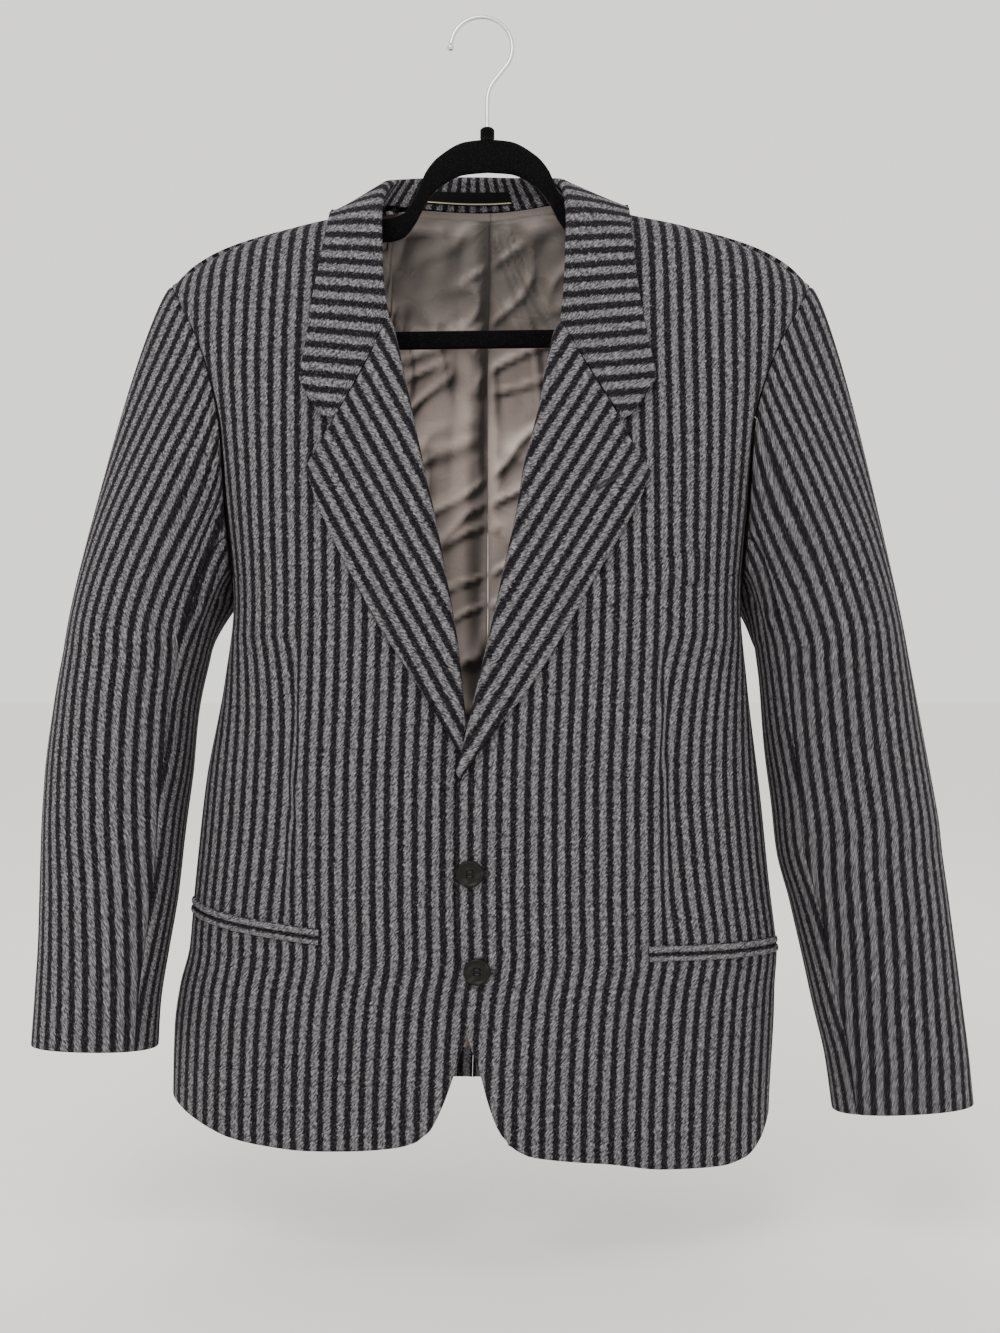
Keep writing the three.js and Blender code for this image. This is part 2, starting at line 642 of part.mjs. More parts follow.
// The armhole seam as a ring: from the shoulder tip down the front, under the arm and up the back
function ringAngle(side, f) {
  const s = signOf[side];
  const around = ((f % 1) + 1) % 1;
  const top = tipZ(side) - 0.05;
  if (around < RING_FRONT) {
    const z = lerp(ARMHOLE_BASE, top, rise(1 - around / RING_FRONT));
    return { t: angleOf(armholeX(side, z), z, -1), z };
  }
  if (around <= RING_FRONT + RING_SIDE) {
    const t = lerp(FRONT_SEAM, BACK_SEAM, (around - RING_FRONT) / RING_SIDE);
    return { t: s * t, z: scoop(t) };
  }
  const z = lerp(ARMHOLE_BASE, top, rise((around - RING_FRONT - RING_SIDE) / (1 - RING_FRONT - RING_SIDE)));
  return { t: angleOf(armholeX(side, z), z, 1), z };
}

function ringAt(side, f) {
  const { t, z } = ringAngle(side, f);
  return bodyAt(t, z);
}

// Direction in which the sleeve leaves the body, and the start of its outside
function ringStart(side, f) {
  const { t, z } = ringAngle(side, f);
  const p = bodyAt(t, z);
  let n = bodyNormal(t, z);
  const nearTip = Math.min(f, 1 - f);
  if (nearTip < 0.03) n = crestNormal(p.x).lerp(n, nearTip / 0.03).normalize();
  const along = ringAt(side, f + 0.004).sub(ringAt(side, f - 0.004)).normalize();
  const away = along.cross(n).normalize().multiplyScalar(-signOf[side]);
  const around = Math.sin(Math.PI * f) ** 2;
  const turn = rad(lerp(0, 150, around ** 1.6));
  const start = away.clone().multiplyScalar(Math.cos(turn)).addScaledVector(n, Math.sin(turn));
  const half = away.clone().multiplyScalar(Math.cos(turn / 2)).addScaledVector(n, Math.sin(turn / 2));
  return { point: p.addScaledVector(half, lerp(SLEEVE_GAP, UNDERARM_GAP, around)), start };
}

// A point of the sleeve's tube below the upper arm. The angle is 0 on the outside and 90 in front.
function tubeAt(side, angle, z) {
  const rows = side === "left" ? SLEEVE_LEFT : SLEEVE_RIGHT;
  const s = signOf[side];
  const get = (column, at) => read(rows.toReversed(), "z", column, at);
  const mid = (at) => (get("outer", at) + get("inner", at)) / 2;
  const half = (get("outer", z) - get("inner", z)) / 2;
  const tilt = Math.atan((mid(z - 15) - mid(z + 15)) / 30);
  const lean = Math.atan((get("y", z + 15) - get("y", z - 15)) / 30);
  const c = Math.cos(rad(angle));
  const q = Math.sin(rad(angle));
  const k = (Math.abs(c) ** SLEEVE_SQUARE + Math.abs(q) ** SLEEVE_SQUARE) ** (-1 / SLEEVE_SQUARE);
  const across = half * Math.cos(tilt) * k * c;
  const fore = get("deep", z) * k * q;
  return vec(
    s * (mid(z) + across * Math.cos(tilt)),
    get("y", z) - fore * Math.cos(lean),
    z + across * Math.sin(tilt) + fore * Math.sin(lean),
  );
}

// A point of the whole sleeve: f goes round from the shoulder tip, v from the armhole to the cuff
const CAP_SHARE = 0.42;
function sleeveAt(side, f, v) {
  const angle = 360 * f;
  const rows = side === "left" ? SLEEVE_LEFT : SLEEVE_RIGHT;
  const cuff = rows[rows.length - 1].z;
  if (v >= CAP_SHARE) {
    return tubeAt(side, angle, lerp(SLEEVE_TOP, cuff, (v - CAP_SHARE) / (1 - CAP_SHARE)));
  }
  const u = v / CAP_SHARE;
  const { point, start } = ringStart(side, f);
  const end = tubeAt(side, angle, SLEEVE_TOP);
  const reach = point.distanceTo(end);
  const under = Math.sin(Math.PI * f) ** 2;
  const down = tubeAt(side, angle, SLEEVE_TOP - 14).sub(tubeAt(side, angle, SLEEVE_TOP - 2)).normalize();
  const m0 = lerp(0.2, 0.75, under) * reach;
  const m1 = lerp(0.8, 0.6, under) * reach;
  const u2 = u * u;
  const u3 = u2 * u;
  return point
    .clone()
    .multiplyScalar(2 * u3 - 3 * u2 + 1)
    .addScaledVector(start, m0 * (u3 - 2 * u2 + u))
    .addScaledVector(end, 3 * u2 - 2 * u3)
    .addScaledVector(down, m1 * (u3 - u2));
}

// Columns of the sleeve stand on the rows of the panels round the armhole
const SLEEVE_COLS = 2 * HIGH_ROWS + SIDE_COLS;
const SLEEVE_ROWS = 18;
function ringShare(column) {
  const j = ((column % SLEEVE_COLS) + SLEEVE_COLS) % SLEEVE_COLS;
  if (j <= HIGH_ROWS) return (RING_FRONT * j) / HIGH_ROWS;
  if (j <= HIGH_ROWS + SIDE_COLS) return RING_FRONT + (RING_SIDE * (j - HIGH_ROWS)) / SIDE_COLS;
  return 1 - (RING_FRONT * (SLEEVE_COLS - j)) / HIGH_ROWS;
}

function sleevePiece(name, side, from, to, material) {
  const cols = to - from;
  const s = signOf[side];
  const normals = [];
  const gap = 0.25 / 430;
  const grid = gridOf(SLEEVE_ROWS, cols, (v, _, i, j) => {
    let f = ringShare(from + j);
    if (j === 0) f += gap;
    if (j === cols) f -= gap;
    const dv = 0.002;
    const low = Math.max(v - dv, 0);
    const high = Math.min(v + dv, 1);
    const a = sleeveAt(side, f + 0.003, v).sub(sleeveAt(side, f - 0.003, v));
    const b = sleeveAt(side, f, high).sub(sleeveAt(side, f, low));
    const n = a.cross(b).normalize().multiplyScalar(s);
    normals[i] ??= [];
    normals[i].push(n);
    return sleeveAt(side, f, v);
  });
  return wallOf(name, grid, normals, TWEED, material);
}

// A point of a lapel's outside: u runs down the roll line, v from the roll to the outer edge
function lapelAt(side, u, v) {
  const rows = side === "left" ? LAPEL_LEFT : LAPEL_RIGHT;
  const at = u * (rows.length - 1);
  const x = lerp(follow(rows, at, "rx"), follow(rows, at, "ex"), v);
  const z = lerp(follow(rows, at, "rz"), follow(rows, at, "ez"), v);
  const fade = 1 - smooth(0.72, 1, u);
  const lift = LAPEL_ROLL * (1 - smooth(0, 0.55, v)) * fade;
  return overFront(side, x, z, LAPEL_GAP + FACING + lift);
}

function lapel(side, material) {
  const rows = (side === "left" ? LAPEL_LEFT : LAPEL_RIGHT).length - 1;
  const s = signOf[side];
  const normals = [];
  const grid = gridOf(rows * 2, 6, (u, v, i) => {
    const n = normalOf((a, b) => lapelAt(side, clamp(a, 0.001, 0.999), b), u, v, 0.004, 0.01);
    normals[i] ??= [];
    normals[i].push(n.multiplyScalar(n.y > 0 ? -1 : 1));
    return lapelAt(side, u, v);
  });
  return wallOf("lapel_" + side, grid, normals, FACING, material);
}

// A point of the collar's outside: at is the row in the table, q runs from the neck seam
// over the fold to the outer edge
function collarAt(at, q) {
  const get = (column) => follow(COLLAR, at, column);
  const fold = vec(get("fx"), get("fy"), get("fz"));
  const behind = at > COLLAR_SHOULDERS[0] && at < COLLAR_SHOULDERS[1];
  const over = (x, z, off) => (behind ? overBack(x, z, off) : overFront(x > 0 ? "left" : "right", x, z, off));
  const seam = over(get("sx"), get("sz"), COLLAR_SEAT);
  const edge = over(get("ex"), get("ez"), COLLAR_OFF);
  const up = fold.clone().sub(seam);
  const stand = up.length();
  up.normalize();
  seam.addScaledVector(up, 0.4);
  const out = edge.clone().sub(fold);
  out.addScaledVector(up, -out.dot(up)).normalize();
  const r = clamp(stand * 0.45, COLLAR_WALL + 0.3, COLLAR_FOLD);
  const fall = edge.clone().sub(fold).normalize();
  const turn = Math.atan2(fall.dot(out), fall.dot(up));
  const round = (a) =>
    fold.clone().addScaledVector(up, r * Math.sin(a) - r).addScaledVector(out, -r * Math.cos(a));
  if (q < 0.25) return seam.lerp(round(0), q / 0.25);
  if (q < 0.45) return round((turn * (q - 0.25)) / 0.2);
  const u = (q - 0.45) / 0.55;
  const fallTop = round(turn);
  const reach = fallTop.distanceTo(edge);
  const near = over(lerp(get("ex"), get("fx"), 0.12), lerp(get("ez"), get("fz"), 0.12), COLLAR_OFF);
  const end = edge.clone().sub(near).normalize();
  const u2 = u * u;
  const u3 = u2 * u;
  const p = fallTop
    .clone()
    .multiplyScalar(2 * u3 - 3 * u2 + 1)
    .addScaledVector(fall, 0.6 * reach * (u3 - 2 * u2 + u))
    .addScaledVector(edge, 3 * u2 - 2 * u3)
    .addScaledVector(end, 0.6 * reach * (u3 - u2));
  return keepOff(p, smooth(0, 0.12, u));
}

// A point of the collar's fall, kept off the front or the back that it lies over
function keepOff(p, share) {
  const off = COLLAR_OFF * share;
  if (p.y < 0 && p.z < ridge(p.x, false) - 1) {
    p.y = Math.min(p.y, overFront(p.x > 0 ? "left" : "right", p.x, p.z, off).y);
  }
  if (p.y > 0 && p.z < ridge(p.x, true) - 1) {
    p.y = Math.max(p.y, overBack(p.x, p.z, off).y);
  }
  return p;
}

function collar(material) {
  const rows = COLLAR.length - 1;
  const steps = 12;
  const normals = [];
  const grid = gridOf(rows * 2, steps, (u, q, i) => {
    const at = u * rows;
    const a = collarAt(Math.min(at + 0.02, rows), q).sub(collarAt(Math.max(at - 0.02, 0), q));
    const b = collarAt(at, Math.min(q + 0.004, 1)).sub(collarAt(at, Math.max(q - 0.004, 0)));
    normals[i] ??= [];
    normals[i].push(a.cross(b).normalize());
    return collarAt(at, q);
  });
  return wallOf("collar", grid, normals, COLLAR_WALL, material);
}

// A flat strip that lies on a front: rows of angle and height along its lower and upper edge
function stripOn(name, side, steps, lower, upper, off, thick, material) {
  const normals = [];
  const grid = gridOf(1, steps, (up, u, i) => {
    const { t, z } = up === 0 ? lower(u) : upper(u);
    const n = frontNormal(side, t, z);
    normals[i] ??= [];
    normals[i].push(n);
    return frontAt(side, t, z).addScaledVector(n, off + thick);
  });
  return wallOf(name, grid, normals, thick, material);
}

function hipPocket({ side, from, to }, material) {
  const s = signOf[side];
  const line = (rise0) => (u) => ({ t: s * lerp(from.t, to.t, u), z: lerp(from.z, to.z, u) + rise0 });
  const jet = (name, low, high) =>
    stripOn(name, side, 10, line(low), line(high), 2 * SEAM, JET_THICK, material);
  return [
    jet("jet_upper_" + side, SEAM, JET_HEIGHT),
    jet("jet_lower_" + side, -JET_HEIGHT, -SEAM),
  ];
}

function breastWelt(material) {
  const line = (drop) => (u) => {
    const x = lerp(WELT.x0, WELT.x1, u);
    const z = lerp(WELT.z0, WELT.z1, u) - drop;
    return { t: angleOf(x, z, -1), z };
  };
  return stripOn("breast_welt", "left", 6, line(WELT.height), line(0), 1.5 * SEAM, WELT.thick, material);
}

function button({ name, x, z }, material) {
  const { radius, thick, rim, dish } = BUTTON;
  const outline = [
    [0, 0],
    [radius - 1.2, 0],
    [radius, 1.1],
    [radius, thick - 0.8],
    [radius - 0.9, thick],
    [radius - rim, thick],
    [radius - rim - 1, thick - dish],
    [0, thick - dish],
  ].map(([r, h]) => new THREE.Vector2(r, h));
  const mesh = new THREE.Mesh(new THREE.LatheGeometry(outline, 20), material);
  mesh.name = name;
  const seat = overFront("left", x, z, SEAM + 0.15);
  const n = frontNormal("left", angleOf(x, z, -1), z);
  mesh.position.copy(seat);
  mesh.quaternion.setFromUnitVectors(vec(0, 1, 0), n);
  return mesh;
}

// The back lining, just inside the back, with a pleat that stands up along the centre
function liningAt(t, z) {
  const p = bodyAt(t, z);
  const n = bodyNormal(t, z);
  const pleat = PLEAT.rise * (1 - smooth(0, PLEAT.half, Math.abs(p.x - PLEAT.x)));
  return p.addScaledVector(n, -TWEED - 1.4 - pleat);
}

function lining(side, material) {
  const s = signOf[side];
  const normals = [];
  const grid = gridOf(12, 8, (up, across, i) => {
    const x = s * lerp(1, 180, across);
    const top = Math.abs(x - NECK_MID) < NECK_HALF ? backNeckZ(x) - 14 : ridge(x, false) - 26;
    const z = lerp(LINING_HEM, top, up);
    const outer = z < ARMHOLE_BASE ? s * 130 : angleOf(armholeX(side, z) - s * lerp(16, 72, smooth(-330, -200, z)), z, 1);
    const t = lerp(s * CENTRE_BACK - s * 0.08, outer, across);
    normals[i] ??= [];
    normals[i].push(bodyNormal(t, z));
    return liningAt(t, z);
  });
  return wallOf("lining_" + side, grid, normals, LINING, material);
}

function label(material) {
  const steps = 6;
  const centreRow = (COLLAR.length - 1) / 2;
  const normals = [];
  const grid = gridOf(2, steps, (up, across, i) => {
    const at = centreRow + lerp(-1.25, 0.87, across);
    const q = lerp(0.045, 0.15, up);
    const a = collarAt(at + 0.02, q).sub(collarAt(at - 0.02, q));
    const b = collarAt(at, q + 0.004).sub(collarAt(at, q - 0.004));
    const n = a.cross(b).normalize();
    normals[i] ??= [];
    normals[i].push(n);
    return collarAt(at, q).addScaledVector(n, 2 * SEAM + LABEL.thick);
  });
  return wallOf("label", grid, normals, LABEL.thick, material);
}

// A solid lofted through rings of points, with closed ends
function loft(name, rings, material) {
  const positions = [];
  const faces = [];
  const sides = rings[0].length;
  rings.forEach((ring) => ring.forEach((p) => positions.push(...p.toArray())));
  for (let i = 0; i + 1 < rings.length; i += 1) {
    for (let j = 0; j < sides; j += 1) {
      const k = (j + 1) % sides;
      const a = i * sides;
      const b = (i + 1) * sides;
      faces.push(a + j, a + k, b + k, a + j, b + k, b + j);
    }
  }
  const last = (rings.length - 1) * sides;
  for (let j = 1; j + 1 < sides; j += 1) {
    faces.push(0, j + 1, j);
    faces.push(last, last + j, last + j + 1);
  }
  return meshOf(name, positions, faces, material);
}

// An oval section across a path in the XZ plane, with rounded corners
function flatSection(centre, across, half, deep) {
  return Array.from({ length: 10 }, (_, k) => {
    const a = (2 * Math.PI * k) / 10;
    const c = Math.cos(a);
    const d = Math.sin(a);
    const r = (c ** 4 + d ** 4) ** -0.25;
    return centre
      .clone()
      .addScaledVector(across, half * r * c)
      .add(vec(0, deep * r * d, 0));
  });
}

function hangerArms(material) {
  const reach = HANGER[HANGER.length - 1].x;
  const rings = [];
  for (let k = -14; k <= 14; k += 1) {
    const x = (reach * k) / 14;
    const top = read(HANGER, "x", "top", Math.abs(x));
    const low = read(HANGER, "x", "low", Math.abs(x));
    const middle = (top + low) / 2 + HANGER_TILT * x;
    rings.push(flatSection(vec(x, 0, middle), vec(0, 0, 1), (top - low) / 2, HANGER_HALF));
  }
  return loft("hanger_arms", rings, material);
}

function hangerBar(material) {
  const { z, half, high, deep, bend, up } = BAR;
  const path = [];
  for (let k = 0; k <= 4; k += 1) {
    const a = rad(lerp(0, 68, k / 4));
    path.push([half + bend * Math.sin(a), z + bend * (1 - Math.cos(a))]);
  }
  const [endX, endZ] = path[path.length - 1];
  path.push([endX + (up - endZ) * 0.36, up]);
  const points = [
    ...path.toReversed().map(([x, h]) => vec(-x, 0, h)),
    vec(-half / 2, 0, z),
    vec(0, 0, z),
    vec(half / 2, 0, z),
    ...path.map(([x, h]) => vec(x, 0, h)),
  ].map((p) => p.setZ(p.z + HANGER_TILT * p.x));
  const rings = points.map((p, i) => {
    const along = points[Math.min(i + 1, points.length - 1)].clone().sub(points[Math.max(i - 1, 0)]);
    const across = vec(-along.z, 0, along.x).normalize();
    const slim = i === 0 || i === points.length - 1 ? 0.7 : 1;
    return flatSection(p, across, (high / 2) * slim, deep / 2);
  });
  return loft("hanger_bar", rings, material);
}

function hangerHook(material) {
  const { radius, wire, x, low, start, end } = HOOK;
  const centreZ = wire - radius;
  const points = [];
  for (let k = 0; k <= 22; k += 1) {
    const a = rad(lerp(start, end, k / 22));
    points.push(vec(x + radius * Math.cos(a), 0, centreZ + radius * Math.sin(a)));
  }
  points.push(vec(9.5, 0, -43.5), vec(3.4, 0, -51.5), vec(0.6, 0, -59), vec(0, 0, -68), vec(0, 0, low));
  const rings = points.map((p, i) => {
    const along = points[Math.min(i + 1, points.length - 1)].clone().sub(points[Math.max(i - 1, 0)]);
    const across = vec(-along.z, 0, along.x).normalize();
    return Array.from({ length: 8 }, (_, k) => {
      const a = (2 * Math.PI * k) / 8;
      return p.clone().addScaledVector(across, wire * Math.cos(a)).add(vec(0, wire * Math.sin(a), 0));
    });
  });
  return loft("hook", rings, material);
}

function hookTip(material) {
  const { radius, wire, x, start } = HOOK;
  const a = rad(start + 7.6);
  const mesh = new THREE.Mesh(new THREE.SphereGeometry(2.9, 12, 8), material);
  mesh.name = "hook_tip";
  mesh.position.set(x + radius * Math.cos(a), 0, wire - radius + radius * Math.sin(a));
  return mesh;
}

function hookBoss(material) {
  const { radius, low, high } = BOSS;
  const outline = [
    [0, low],
    [radius, low],
    [radius, high - 1.5],
    [radius - 1.5, high],
    [0, high],
  ].map(([r, z]) => new THREE.Vector2(r, z));
  const mesh = new THREE.Mesh(new THREE.LatheGeometry(outline, 16), material);
  mesh.name = "hook_boss";
  mesh.rotation.x = Math.PI / 2;
  return mesh;
}

const paint = (color, roughness, metalness = 0) =>
  new THREE.MeshStandardMaterial({ color, roughness, metalness });
const finish = {
  tweed: () => paint(0x55525a, 0.95),
  lining: () => paint(0x75685f, 0.45),
  label: () => paint(0x191716, 0.7),
  button: () => paint(0x2a2a22, 0.35),
  flock: () => paint(0x101011, 1),
  wire: () => paint(0xc9cacc, 0.18, 1),
};

const blazer = new THREE.Group();
for (const side of ["left", "right"]) {
  blazer.add(
    frontPanel(side, finish.tweed()),
    sidePanel(side, finish.tweed()),
    backPanel(side, finish.tweed()),
    sleevePiece("sleeve_top_" + side, side, HINDARM_SEAM - SLEEVE_COLS, FOREARM_SEAM, finish.tweed()),
    sleevePiece("sleeve_under_" + side, side, FOREARM_SEAM, HINDARM_SEAM, finish.tweed()),
    lapel(side, finish.tweed()),
    lining(side, finish.lining()),
  );
}
blazer.add(collar(finish.tweed()), breastWelt(finish.tweed()), label(finish.label()));
HIP_POCKETS.forEach((pocket) => blazer.add(...hipPocket(pocket, finish.tweed())));
BUTTONS.forEach((place) => blazer.add(button(place, finish.button())));

const hanger = new THREE.Group();
hanger.add(
  hangerArms(finish.flock()),
  hangerBar(finish.flock()),
  hangerHook(finish.wire()),
  hookTip(finish.wire()),
  hookBoss(finish.flock()),
);

const part = new THREE.Group();
part.add(blazer, hanger);

export default part;
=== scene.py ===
"""A tweed blazer on a flocked hanger: the looks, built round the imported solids.

Lengths in the tables are millimetres, angles are degrees and meshes are in metres. X runs to the
right as seen from the front, Y away from the viewer and Z up, from the inner top of the hook.
"""

from __future__ import annotations

import logging
import math
from dataclasses import dataclass, field
from enum import Enum
from typing import Callable

import bpy
import numpy as np
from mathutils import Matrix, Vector, noise

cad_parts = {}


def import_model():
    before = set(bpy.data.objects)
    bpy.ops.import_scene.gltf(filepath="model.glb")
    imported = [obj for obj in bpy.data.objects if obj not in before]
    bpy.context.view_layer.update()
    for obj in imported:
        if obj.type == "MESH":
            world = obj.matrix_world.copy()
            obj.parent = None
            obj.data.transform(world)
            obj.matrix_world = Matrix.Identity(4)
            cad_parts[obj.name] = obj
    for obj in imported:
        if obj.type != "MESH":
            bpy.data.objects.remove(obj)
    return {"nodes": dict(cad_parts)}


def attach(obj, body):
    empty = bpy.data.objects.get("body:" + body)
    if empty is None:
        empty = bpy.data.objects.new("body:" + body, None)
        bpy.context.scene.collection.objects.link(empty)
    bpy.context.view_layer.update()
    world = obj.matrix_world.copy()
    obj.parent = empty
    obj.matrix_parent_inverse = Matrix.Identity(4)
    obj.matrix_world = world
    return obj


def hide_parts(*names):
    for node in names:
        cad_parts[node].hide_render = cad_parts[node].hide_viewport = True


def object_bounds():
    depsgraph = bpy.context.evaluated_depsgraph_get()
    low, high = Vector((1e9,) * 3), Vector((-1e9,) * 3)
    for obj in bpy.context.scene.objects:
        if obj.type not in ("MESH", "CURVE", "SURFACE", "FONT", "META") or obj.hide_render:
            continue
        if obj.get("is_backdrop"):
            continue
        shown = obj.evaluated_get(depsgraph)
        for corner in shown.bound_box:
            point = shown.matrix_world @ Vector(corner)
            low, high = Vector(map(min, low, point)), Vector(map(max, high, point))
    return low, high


log = logging.getLogger("blazer")

MM = 0.001
UV_UNIT = 100.0

TWEED = 3.0
FACING = 2.6
LINING = 1.2
SEAM = 0.3
STRIPE_PITCH = 10.3
RIDGE_GAP = 0.05
COLUMN_SPREAD = 0.92
FRONT_SEAM = 84.0
BACK_SEAM = 118.0
CENTRE_BACK = 180.0
ARMHOLE_BASE = -440.0
ARMPIT = -457.0
SHOULDER_MID = 3.0
SHOULDER_TIP = 250.0
NECK_MID = -10.0
NECK_HALF = 78.0
BACK_NECK_Z = -143.0
BACK_NECK_RISE = 85.0
CREST_POWER = 1.6
CREST_ROUND_NECK = 0.62
CREST_ROUND_TIP = 0.46
CREST_EDGE = 0.6
HALF_SEAM = 0.16
HEM_BACK = -842.0
LAP_IN = 12.0
LAP_OUT = 72.0
SLEEVE_SQUARE = 2.2
SLEEVE_GAP = 0.5
UNDERARM_GAP = 2.0
SLEEVE_TOP = -490.0
CAP_SHARE = 0.42
RING_FRONT = 0.42
RING_SIDE = 0.16
FOREARM_SHARE = 0.42 * 10 / 11
HINDARM_SHARE = 1 - 0.42 * 6 / 11
LAPEL_GAP = 2.1
LAPEL_ROLL = 4.5
COLLAR_SHOULDERS = (8, 14)
COLLAR_WALL = 2.3
COLLAR_SEAT = 0.9
COLLAR_FOLD = 3.9
COLLAR_OFF = 5.8
LINING_HEM = -815.0

Array = np.ndarray
Color = tuple[float, float, float, float]


class Side(Enum):
    """The wearer's left, which is towards +X, and right."""

    LEFT = 1
    RIGHT = -1

    @property
    def label(self) -> str:
        """The side's word in the names of pieces."""
        return self.name.lower()


class Edge(Enum):
    """What happens along one border of a piece of cloth."""

    SEAM = "sewn to its neighbour, with a shallow valley"
    FOLD = "turned in, with a rounded edge"
    PLAIN = "hidden under another piece"


def hermite(u: Array, a: Array, b: Array, ta: Array, tb: Array) -> Array:
    """Cubic between two values with a tangent at each.

    Args:
        u: place between the values, from 0 to 1.
        a: first value.
        b: second value.
        ta: tangent at the first value.
        tb: tangent at the second value.

    Returns:
        The value at u.
    """
    u2, u3 = u * u, u * u * u
    return (2 * u3 - 3 * u2 + 1) * a + (u3 - 2 * u2 + u) * ta + (3 * u2 - 2 * u3) * b + (u3 - u2) * tb


def smooth(low: float, high: float, at: Array) -> Array:
    """Smooth step from 0 at low to 1 at high."""
    u = np.clip((at - low) / (high - low), 0, 1)
    return u * u * (3 - 2 * u)


def lerp(a: Array, b: Array, u: Array) -> Array:
    """Straight blend from a to b."""
    return a + (b - a) * u


def unit(v: Array) -> Array:
    """Vectors of length one."""
    return v / np.maximum(np.linalg.norm(v, axis=-1, keepdims=True), 1e-12)


def pile(*parts: Array) -> Array:
    """Points from their X, Y and Z."""
    return np.stack(np.broadcast_arrays(*parts), axis=-1).astype(float)


def arc(p: Array, axis: int) -> Array:
    """Length walked along a grid's rows (axis 0) or columns (axis 1) up to each point."""
    steps = np.linalg.norm(np.diff(p, axis=axis), axis=-1)
    start = np.zeros_like(steps[:1] if axis == 0 else steps[:, :1])
    return np.concatenate((start, np.cumsum(steps, axis)), axis)


def grid_faces(index: Array) -> Array:
    """The four corners of each face of a grid of point numbers."""
    return np.stack((index[:-1, :-1], index[:-1, 1:], index[1:, 1:], index[1:, :-1]), -1).reshape(-1, 4)


class Table:
    """Rows of named columns that are read smoothly between the rows."""

    def __init__(self, columns: str, *rows: tuple[float, ...]) -> None:
        """Keeps each column under its name."""
        data = np.array(rows, float)
        self.column = {name: data[:, k] for k, name in enumerate(columns.split())}
        self.last = len(rows) - 1

    def read(self, key: str, column: str, at: Array) -> Array:
        """A column at a key, on a curve that doesn't overshoot between the rows.

        Args:
            key: the column that at is measured along.
            column: the column to read.
            at: where to read it.

        Returns:
            The column's values.
        """
        x, y = self.column[key], self.column[column]
        if x[0] > x[-1]:
            x, y = x[::-1], y[::-1]
        slope = np.diff(y) / np.diff(x)
        before, after = slope[:-1], slope[1:]
        both = before + after
        mean = 2 * before * after / np.where(both == 0, 1, both)
        tangent = np.concatenate(([slope[0]], np.where(before * after > 0, mean, 0), [slope[-1]]))
        at = np.clip(at, x[0], x[-1])
        i = np.clip(np.searchsorted(x, at) - 1, 0, len(x) - 2)
        width = x[i + 1] - x[i]
        return hermite((at - x[i]) / width, y[i], y[i + 1], width * tangent[i], width * tangent[i + 1])

    def follow(self, at: Array, column: str) -> Array:
        """A column along the rows by row number, stopping at rows whose corner is 1."""
        y, corner = self.column[column], self.column["corner"]
        index = np.arange(len(y))
        tangent = (y[np.minimum(index + 1, self.last)] - y[np.maximum(index - 1, 0)]) / 2
        tangent = np.where(corner > 0, 0, tangent)
        at = np.asarray(at, float)
        i = np.clip(np.floor(at).astype(int), 0, self.last - 1)
        return hermite(at - i, y[i], y[i + 1], tangent[i], tangent[i + 1])


BODY = Table(
    "z half mid front back side square",
    (-890, 231, -13, 74, 64, -8, 2.4),
    (-848, 231.5, -12.5, 76, 62, -8, 2.4),
    (-784, 232.5, -10, 80, 58, -8, 2.4),
    (-754, 231, -7.5, 82, 56, -7, 2.4),
    (-723, 228, -3, 84, 54, -6, 2.4),
    (-670, 222.5, -3.8, 86, 53, -6, 2.4),
    (-600, 215, -3.6, 87, 56, -5, 2.5),
    (-520, 203, -1, 89, 64, -3, 2.6),
    (-457, 197, 0, 90, 70, 0, 2.8),
    (-380, 205, 0, 90, 73, 0, 3.1),
    (-330, 213, 0, 90, 74, 0, 3.4),
    (-280, 230, 0, 90, 74, 0, 3.6),
    (-236, 252, 1, 90, 74, 0, 3.6),
    (-212, 268, 2, 90, 74, 0, 3.6),
    (-110, 290, 3, 90, 74, 0, 3.6),
)
RIDGE = Table(
    "out z",
    (0, -139),
    (65, -143),
    (85, -147.5),
    (110, -153.5),
    (136, -159),
    (155, -164.5),
    (175, -170.5),
    (199, -179.5),
    (224, -192.5),
    (243, -205.5),
    (254, -212.5),
    (300, -250),
)
ARMHOLE = Table(
    "z out",
    (-440, 195.2),
    (-420, 196.5),
    (-380, 199.5),
    (-347, 201),
    (-330, 202),
    (-314, 204.5),
    (-298, 208.5),
    (-280, 214.5),
    (-267, 219.5),
    (-253, 226),
    (-236, 235.5),
    (-222, 243),
    (-209.5, 250),
)
EDGE_LEFT = Table(
    "z x",
    (-859, 16.5),
    (-850.5, 9.3),
    (-829.6, 1.2),
    (-807.3, -4.7),
    (-799, -7.6),
    (-786.5, -12),
    (-768, -15.7),
    (-745.7, -18.6),
    (-716, -20.8),
    (-679.5, -22.2),
    (-620.7, -22.2),
    (-598, -21.5),
    (-567, -12.8),
    (-522.6, -1.9),
    (-462.5, 11.3),
    (-395, 26),
    (-319.7, 41.8),
    (-249.6, 58.3),
    (-224, 63.5),
    (-195, 66.5),
    (-143, 68),
)
EDGE_RIGHT = Table(
    "z x",
    (-854, -45.5),
    (-850.5, -41.6),
    (-837, -34.2),
    (-809, -23.8),
    (-790, -17.9),
    (-765, -8),
    (-735, 1),
    (-690, 6.5),
    (-640, 5.5),
    (-600, -4),
    (-567, -12),
    (-533.6, -19.9),
    (-485.3, -25.7),
    (-444, -33.2),
    (-402.6, -40.7),
    (-358.5, -50.5),
    (-300.5, -62.9),
    (-253.7, -75),
    (-227.4, -81.5),
    (-202, -85.5),
    (-146, -88),
)
HEM_LEFT = Table(
    "x z",
    (16.5, -859),
    (20.3, -863.2),
    (33.6, -870),
    (60, -874),
    (90, -876.5),
    (132, -883),
    (177, -884),
    (197, -880),
    (208, -871),
    (219, -850),
)
